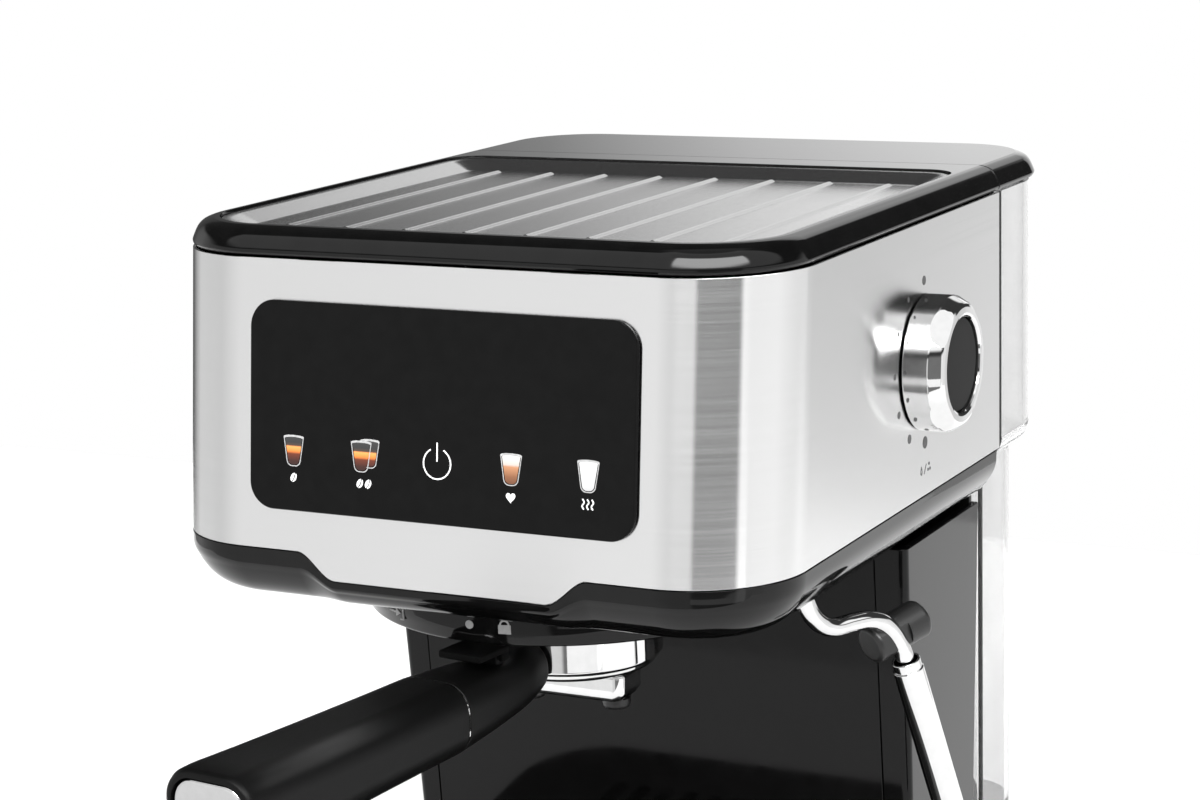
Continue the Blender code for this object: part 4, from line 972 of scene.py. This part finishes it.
def make_handle_grip():
    """The grip, hollow at its end for the cap."""
    start = (77.6, 29.6, 22.8, 9.1)
    along = smooth_path([(78.2, 29.8, 23.0, 9.2), (110.0, 30.4, 23.8, 9.2), (150.0, 31.4, 25.4, 9.2),
                         (172.0, 32.2, 26.6, 9.2)], 6)
    end = [(177.0, 31.9, 26.3, 9.2), (178.5, 30.8, 25.2, 9.0), (HANDLE_END, 29.2, 23.6, 8.5),
           (HANDLE_END, 27.0, 21.4, 7.7), (HANDLE_END - 6.0, 26.8, 21.2, 7.6)]
    piece("handle_grip_body", handle_loft([start, *along, *end]), "grip_black", "filter_holder",
          ["handle_grip"], ALONG_HANDLE, sharp_deg=45.0)


def make_handle_end():
    disc = handle_loft([
        (HANDLE_END - 5.6, 26.2, 20.6, 7.3), (HANDLE_END - 1.3, 26.2, 20.6, 7.3),
        (HANDLE_END - 0.8, 25.8, 20.2, 7.1), (HANDLE_END - 0.5, 25.0, 19.4, 6.8),
        (HANDLE_END - 0.4, 23.6, 18.0, 6.2)])
    piece("handle_end_disc", disc, "chrome", "filter_holder", ["handle_end_cap"], ALONG_HANDLE,
          sharp_deg=60.0)


def make_clip():
    """The clip that holds the basket: a tab with two ears beside the saddle."""
    tab = slab((-8.0, CLIP_Y - 14.0, CLIP_Z + 1.0), (8.0, CLIP_Y + 2.0, CLIP_Z + 3.4))
    ears = [slab((x - 1.0, CLIP_Y - 2.0, CLIP_Z - 1.6), (x + 1.0, CLIP_Y + 2.0, CLIP_Z + 2.0))
            for x in (-6.8, 6.8)]
    piece("basket_clip_tab", merged(*in_place(tab, *ears)), "dull_black", "basket_clip", ["basket_clip"],
          HOLDER, edge=0.7)


# ---- steam side


def make_steam_knob():
    """The knob's round side runs into a rounded bevel with four facets."""
    bm = turned([(0.0, 0.4), (21.2, 0.4), (21.7, 0.6), (21.8, 0.9), (21.8, 8.6), (21.6, 9.3), (19.9, 12.2),
                 (19.2, 12.9), (18.2, 13.3), (16.4, 13.4), (15.6, 13.1), (15.4, 12.6), (15.4, 9.7),
                 (0.0, 9.7)], 240)
    facets, reach, height, lean = 4, 18.1, 13.0, radians(36.0)
    for i in range(facets):
        a = tau * (i + 0.5) / facets
        x, y = cos(a), sin(a)
        cut = bmesh.ops.bisect_plane(
            bm, geom=[*bm.verts, *bm.edges, *bm.faces], clear_outer=True,
            plane_co=(reach * x, reach * y, height),
            plane_no=(x * cos(lean), y * cos(lean), sin(lean)))
        rim = [item for item in cut["geom_cut"] if isinstance(item, bmesh.types.BMEdge)]
        bmesh.ops.contextual_create(bm, geom=rim)
    agree(bm)
    piece("steam_knob_body", bm, "chrome", "steam_knob", ["steam_knob"], KNOB, sharp_deg=16.0)


def make_knob_insert():
    insert = turned([(0.0, 9.9), (15.1, 9.9), (15.1, 11.3), (14.7, 11.9), (13.6, 12.2), (7.0, 12.5),
                     (0.0, 12.6)], 96)
    piece("knob_insert_disc", insert, "knob_grey", "steam_knob", ["knob_insert"], KNOB)


def make_knob_scale():
    """Dots round the knob that grow with the flow of steam, and a drop and steam sign under them."""
    dial, low, high = 26.2, -0.1, 0.08
    marks = []
    for angle, radius in ((0, 1.5), (32, 0.85), (61, 0.8), (90, 1.05), (119, 1.2), (148, 1.5), (180, 2.0)):
        a = radians(angle)
        marks.append(prism(circle((-dial * sin(a), dial * cos(a)), radius, 24), low, high))
    drop = [(-3.4 + 0.95 * sin(a) * sin(a / 2), -34.9 + 1.5 * cos(a))
            for a in [tau * i / 24 for i in range(24)]]
    marks.append(band(drop, 0.3, low, high))
    marks.append(stroke([(-1.0, -36.4), (1.0, -33.4)], 0.35, low, high))
    for centre in ((2.6, -35.6), (4.4, -35.6), (3.5, -33.8)):
        marks.append(prism(circle(centre, 0.55, 12), low, high))
    side = shift(HEAD_HALF, KNOB_Y, KNOB_Z) @ turn(90.0, "Z") @ turn(90.0, "X")
    piece("knob_scale", merged(*in_place(*marks)), "ink_dark", "machine", where=side)


def make_steam_tube():
    """The bent tube, which ends inside the froth sleeve."""
    end = Vector(SLEEVE_TOP).lerp(Vector(SLEEVE_LOW), TUBE_IN_SLEEVE / SLEEVE_LENGTH)
    path = smooth_path([(out, 0.0, HEAD_Z + height) for out, height in (*WAND_POINTS, SLEEVE_TOP)])
    path.append((end.x, 0.0, HEAD_Z + end.y))
    piece("steam_tube_bend", swept(path, TUBE_R, 40), "chrome", "steam_wand", ["steam_tube"], WAND)


def make_froth_sleeve():
    low = -SLEEVE_LENGTH
    profile = soften([(3.9, -0.3), (3.9, 0.0), (4.6, 0.0), (4.6, -3.0), (5.0, -3.2), (5.0, low + 2.0),
                      (4.2, low), (2.6, low), (2.6, low + 3.0), (3.9, low + 6.0)], 0.4)
    sleeve = turned(profile, 64, loop=True)
    piece("froth_sleeve_tube", sleeve, "chrome", "froth_sleeve", ["froth_sleeve"], SLEEVE)


def make_steam_nozzle():
    top = -TUBE_IN_SLEEVE - GAP
    profile = [(0.0, top), (3.3, top), (3.3, top - 12.0), (1.4, top - 14.0), (0.0, top - 14.0)]
    tip = turned(soften(profile, 0.5), 48)
    piece("steam_nozzle_tip", tip, "silicone", "steam_wand", ["steam_nozzle"], SLEEVE)


def make_wand_grip():
    """A short bar on the bend, cut open where the tube lies in it."""
    across, height = SLEEVE_LEAN @ turn(93.0, "Y"), HEAD_Z - 39.0
    profile = [(0.0, 14.0), (4.6, 14.0), (6.3, 12.6), (6.3, -7.0), (5.2, -8.0), (0.0, -8.0)]
    groove = slab((-20.0, -14.0, -5.6), (20.0, 3.4, 5.6))
    piece("wand_grip_bar", turned(soften(profile, 1.0), 64), "satin_black", "steam_wand", ["wand_grip"],
          WAND @ shift(35.8, 3.4, height) @ across,
          cutters=[(groove, WAND @ shift(35.0, -5.3, height) @ across)])


# ---- nodes kept from the CAD


def dress_inner_nodes():
    """Every node that no piece stands for keeps its mesh and takes its slot's finish."""
    for entry in frame["record"]["subparts"]:
        node = frame["nodes"][entry["node"]]
        node.data.materials.clear()
        node.data.materials.append(LOOKS[entry["material_slot"]])


# ---- studio and camera


def direction_band(tree, value, low, high, soft):
    """1 between low and high, easing to 0 over soft on each side."""
    def step(at):
        return mapped(tree, value, at - soft, at + soft, interpolation_type="SMOOTHSTEP")

    return calc(tree, "SUBTRACT", step(low), step(high), use_clamp=True)


def studio_light(tree):
    """The panels' brightness by direction: azimuth from the front to the right, and height, in degrees."""
    place = add(tree, "TexCoord").outputs["Generated"]
    parts = add(tree, "SeparateXYZ", {"Vector": place}).outputs
    frontward = calc(tree, "MULTIPLY", parts["Y"], -1.0)
    azimuth = calc(tree, "DEGREES", calc(tree, "ARCTAN2", parts["X"], frontward))
    from_back = calc(tree, "DEGREES", calc(tree, "ARCTAN2", parts["X"], parts["Y"]))
    height = calc(tree, "DEGREES", calc(tree, "ARCSINE", parts["Z"]))

    def panel(across, left, right, low, high, soft):
        return calc(tree, "MULTIPLY", direction_band(tree, across, left, right, soft),
                    direction_band(tree, height, low, high, soft))

    walls = [(-180, 1.1), (-165, 1.4), (-160, 1.25), (-156, 0.9), (-152, 0.4), (-148, 0.15), (-144, 0.06),
             (-125, 0.1), (-100, 0.8), (-60, 0.8), (-25, 1.1), (-6, 0.88), (13, 0.82), (17, 0.18),
             (58, 0.18), (62, 1.15), (100, 1.2), (125, 1.0), (148, 0.93), (157.5, 0.80), (159, 0.80),
             (162, 1.0)]
    around = mapped(tree, azimuth, -180.0, 180.0)
    wall = ramp(tree, around, [((at + 180) / 360, value / 2) for at, value in walls])
    wall = calc(tree, "MULTIPLY", wall, direction_band(tree, height, -120.0, 17.0, 3.0))
    dark_gap = panel(azimuth, 142.0, 171.0, -4.0, 25.0, 2.0)
    wall = calc(tree, "MULTIPLY", wall, calc(tree, "SUBTRACT", 1.0, dark_gap))
    total = calc(tree, "MULTIPLY_ADD", wall, 2.0, 0.05)
    softboxes = ((15.0, panel(azimuth, -14.0, 72.0, 34.0, 50.0, 2.0)),
                 (1.3, panel(azimuth, -60.0, 110.0, 25.0, 72.0, 3.0)),
                 (1.1, panel(from_back, -24.0, 5.0, 18.0, 32.0, 3.0)),
                 (0.45, direction_band(tree, height, 68.0, 200.0, 6.0)))
    for strength, area in softboxes:
        total = calc(tree, "MULTIPLY_ADD", area, strength, total)
    return total


def make_studio():
    """Mirrors see the studio's panels, rough surfaces get even light, and the camera sees plain white."""
    even_light, white = 1.12, 1.0
    world = bpy.data.worlds.new("studio")
    bpy.context.scene.world = world
    world.use_nodes = True
    tree = world.node_tree
    tree.nodes.clear()

    def background(strength):
        return add(tree, "Background", {"Color": grey(1.0), "Strength": strength}).outputs[0]

    rays = add(tree, "LightPath").outputs
    lit = add(tree, "MixShader", {0: rays["Is Diffuse Ray"], 1: background(studio_light(tree)),
                                  2: background(even_light)}).outputs[0]
    shown = add(tree, "MixShader", {0: rays["Is Camera Ray"], 1: lit, 2: background(white)}).outputs[0]
    add(tree, "OutputWorld", {"Surface": shown})


def make_floor():
    """A pale table top just under the feet, in metres."""
    half, front, back, level = 0.9, -0.26, 0.8, -0.0005
    material, tree, shader = new_look("floor", Roughness=0.9)
    cloud = noise(tree, 0.8)
    tree.links.new(ramp(tree, cloud, [(0.3, 0.72), (0.7, 0.75)]), shader.inputs["Base Color"])
    bm = bmesh.new()
    skin(bm, [[(-half, y, level), (half, y, level)] for y in (front, back)])
    mesh = new_mesh("floor", bm)
    mesh.materials.append(material)
    new_object("floor", mesh)


def area_light(name, wide, deep, watts):
    light = bpy.data.lights.new(name, "AREA")
    light.shape, light.size, light.size_y = "RECTANGLE", wide, deep
    light.energy = watts
    return new_object(name, light)


def make_overhead():
    """A large soft light over the table."""
    overhead = area_light("overhead", 24.0, 24.0, 60.0)
    overhead.location = (0.0, 1.5, 5.0)
    overhead.visible_glossy = False


def make_low_card():
    """A low white card to the right of the front, seen only in mirrors: it lights the group's chrome."""
    card = area_light("low_card", 0.46, 0.12, 0.19)
    card.matrix_world = shift(0.37, -0.39, 0.06) @ turn(38.0, "Z") @ turn(90.0, "X")
    card.visible_camera = card.visible_diffuse = False


def make_camera():
    """The camera stands to the right of the front and above it, turned slightly on its axis."""
    yaw, pitch, roll = (radians(angle) for angle in (27.21, 11.72, -1.73))
    position = TO_FRAME @ Vector((410.8, -690.6, HEAD_Z + 215.2))
    back = Vector((sin(yaw) * cos(pitch), -cos(yaw) * cos(pitch), sin(pitch)))
    right = (-back).cross(Vector((0.0, 0.0, 1.0))).normalized()
    up = right.cross(-back)
    across = right * cos(roll) + up * sin(roll)
    upright = up * cos(roll) - right * sin(roll)
    camera = bpy.data.cameras.new("camera")
    camera.lens, camera.sensor_width = 84.0, 36.0
    camera.clip_start, camera.clip_end = 0.05, 50.0
    obj = new_object("camera", camera)
    obj.matrix_world = Matrix.Translation(position) @ Matrix((across, upright, back)).transposed().to_4x4()
    bpy.context.scene.camera = obj


dress_inner_nodes()
make_steel_wrap()
make_touch_panel()
make_pictogram_glasses()
make_pictogram_lines()
make_top_rim()
make_warming_tray()
make_lower_bezel()
make_column()
make_back_panel()
make_base_body()
make_plinth()
make_drip_tray()
make_drip_grid()
make_tank()
make_tank_ears()
make_lid()
make_collar()
make_collar_marks()
make_filter_holder()
make_basket()
make_spout()
make_handle_neck()
make_handle_ring()
make_handle_grip()
make_handle_end()
make_clip()
make_steam_knob()
make_knob_insert()
make_knob_scale()
make_steam_tube()
make_froth_sleeve()
make_steam_nozzle()
make_wand_grip()
make_studio()
make_floor()
make_overhead()
make_low_card()
make_camera()
bpy.context.scene.view_settings.view_transform = "Standard"
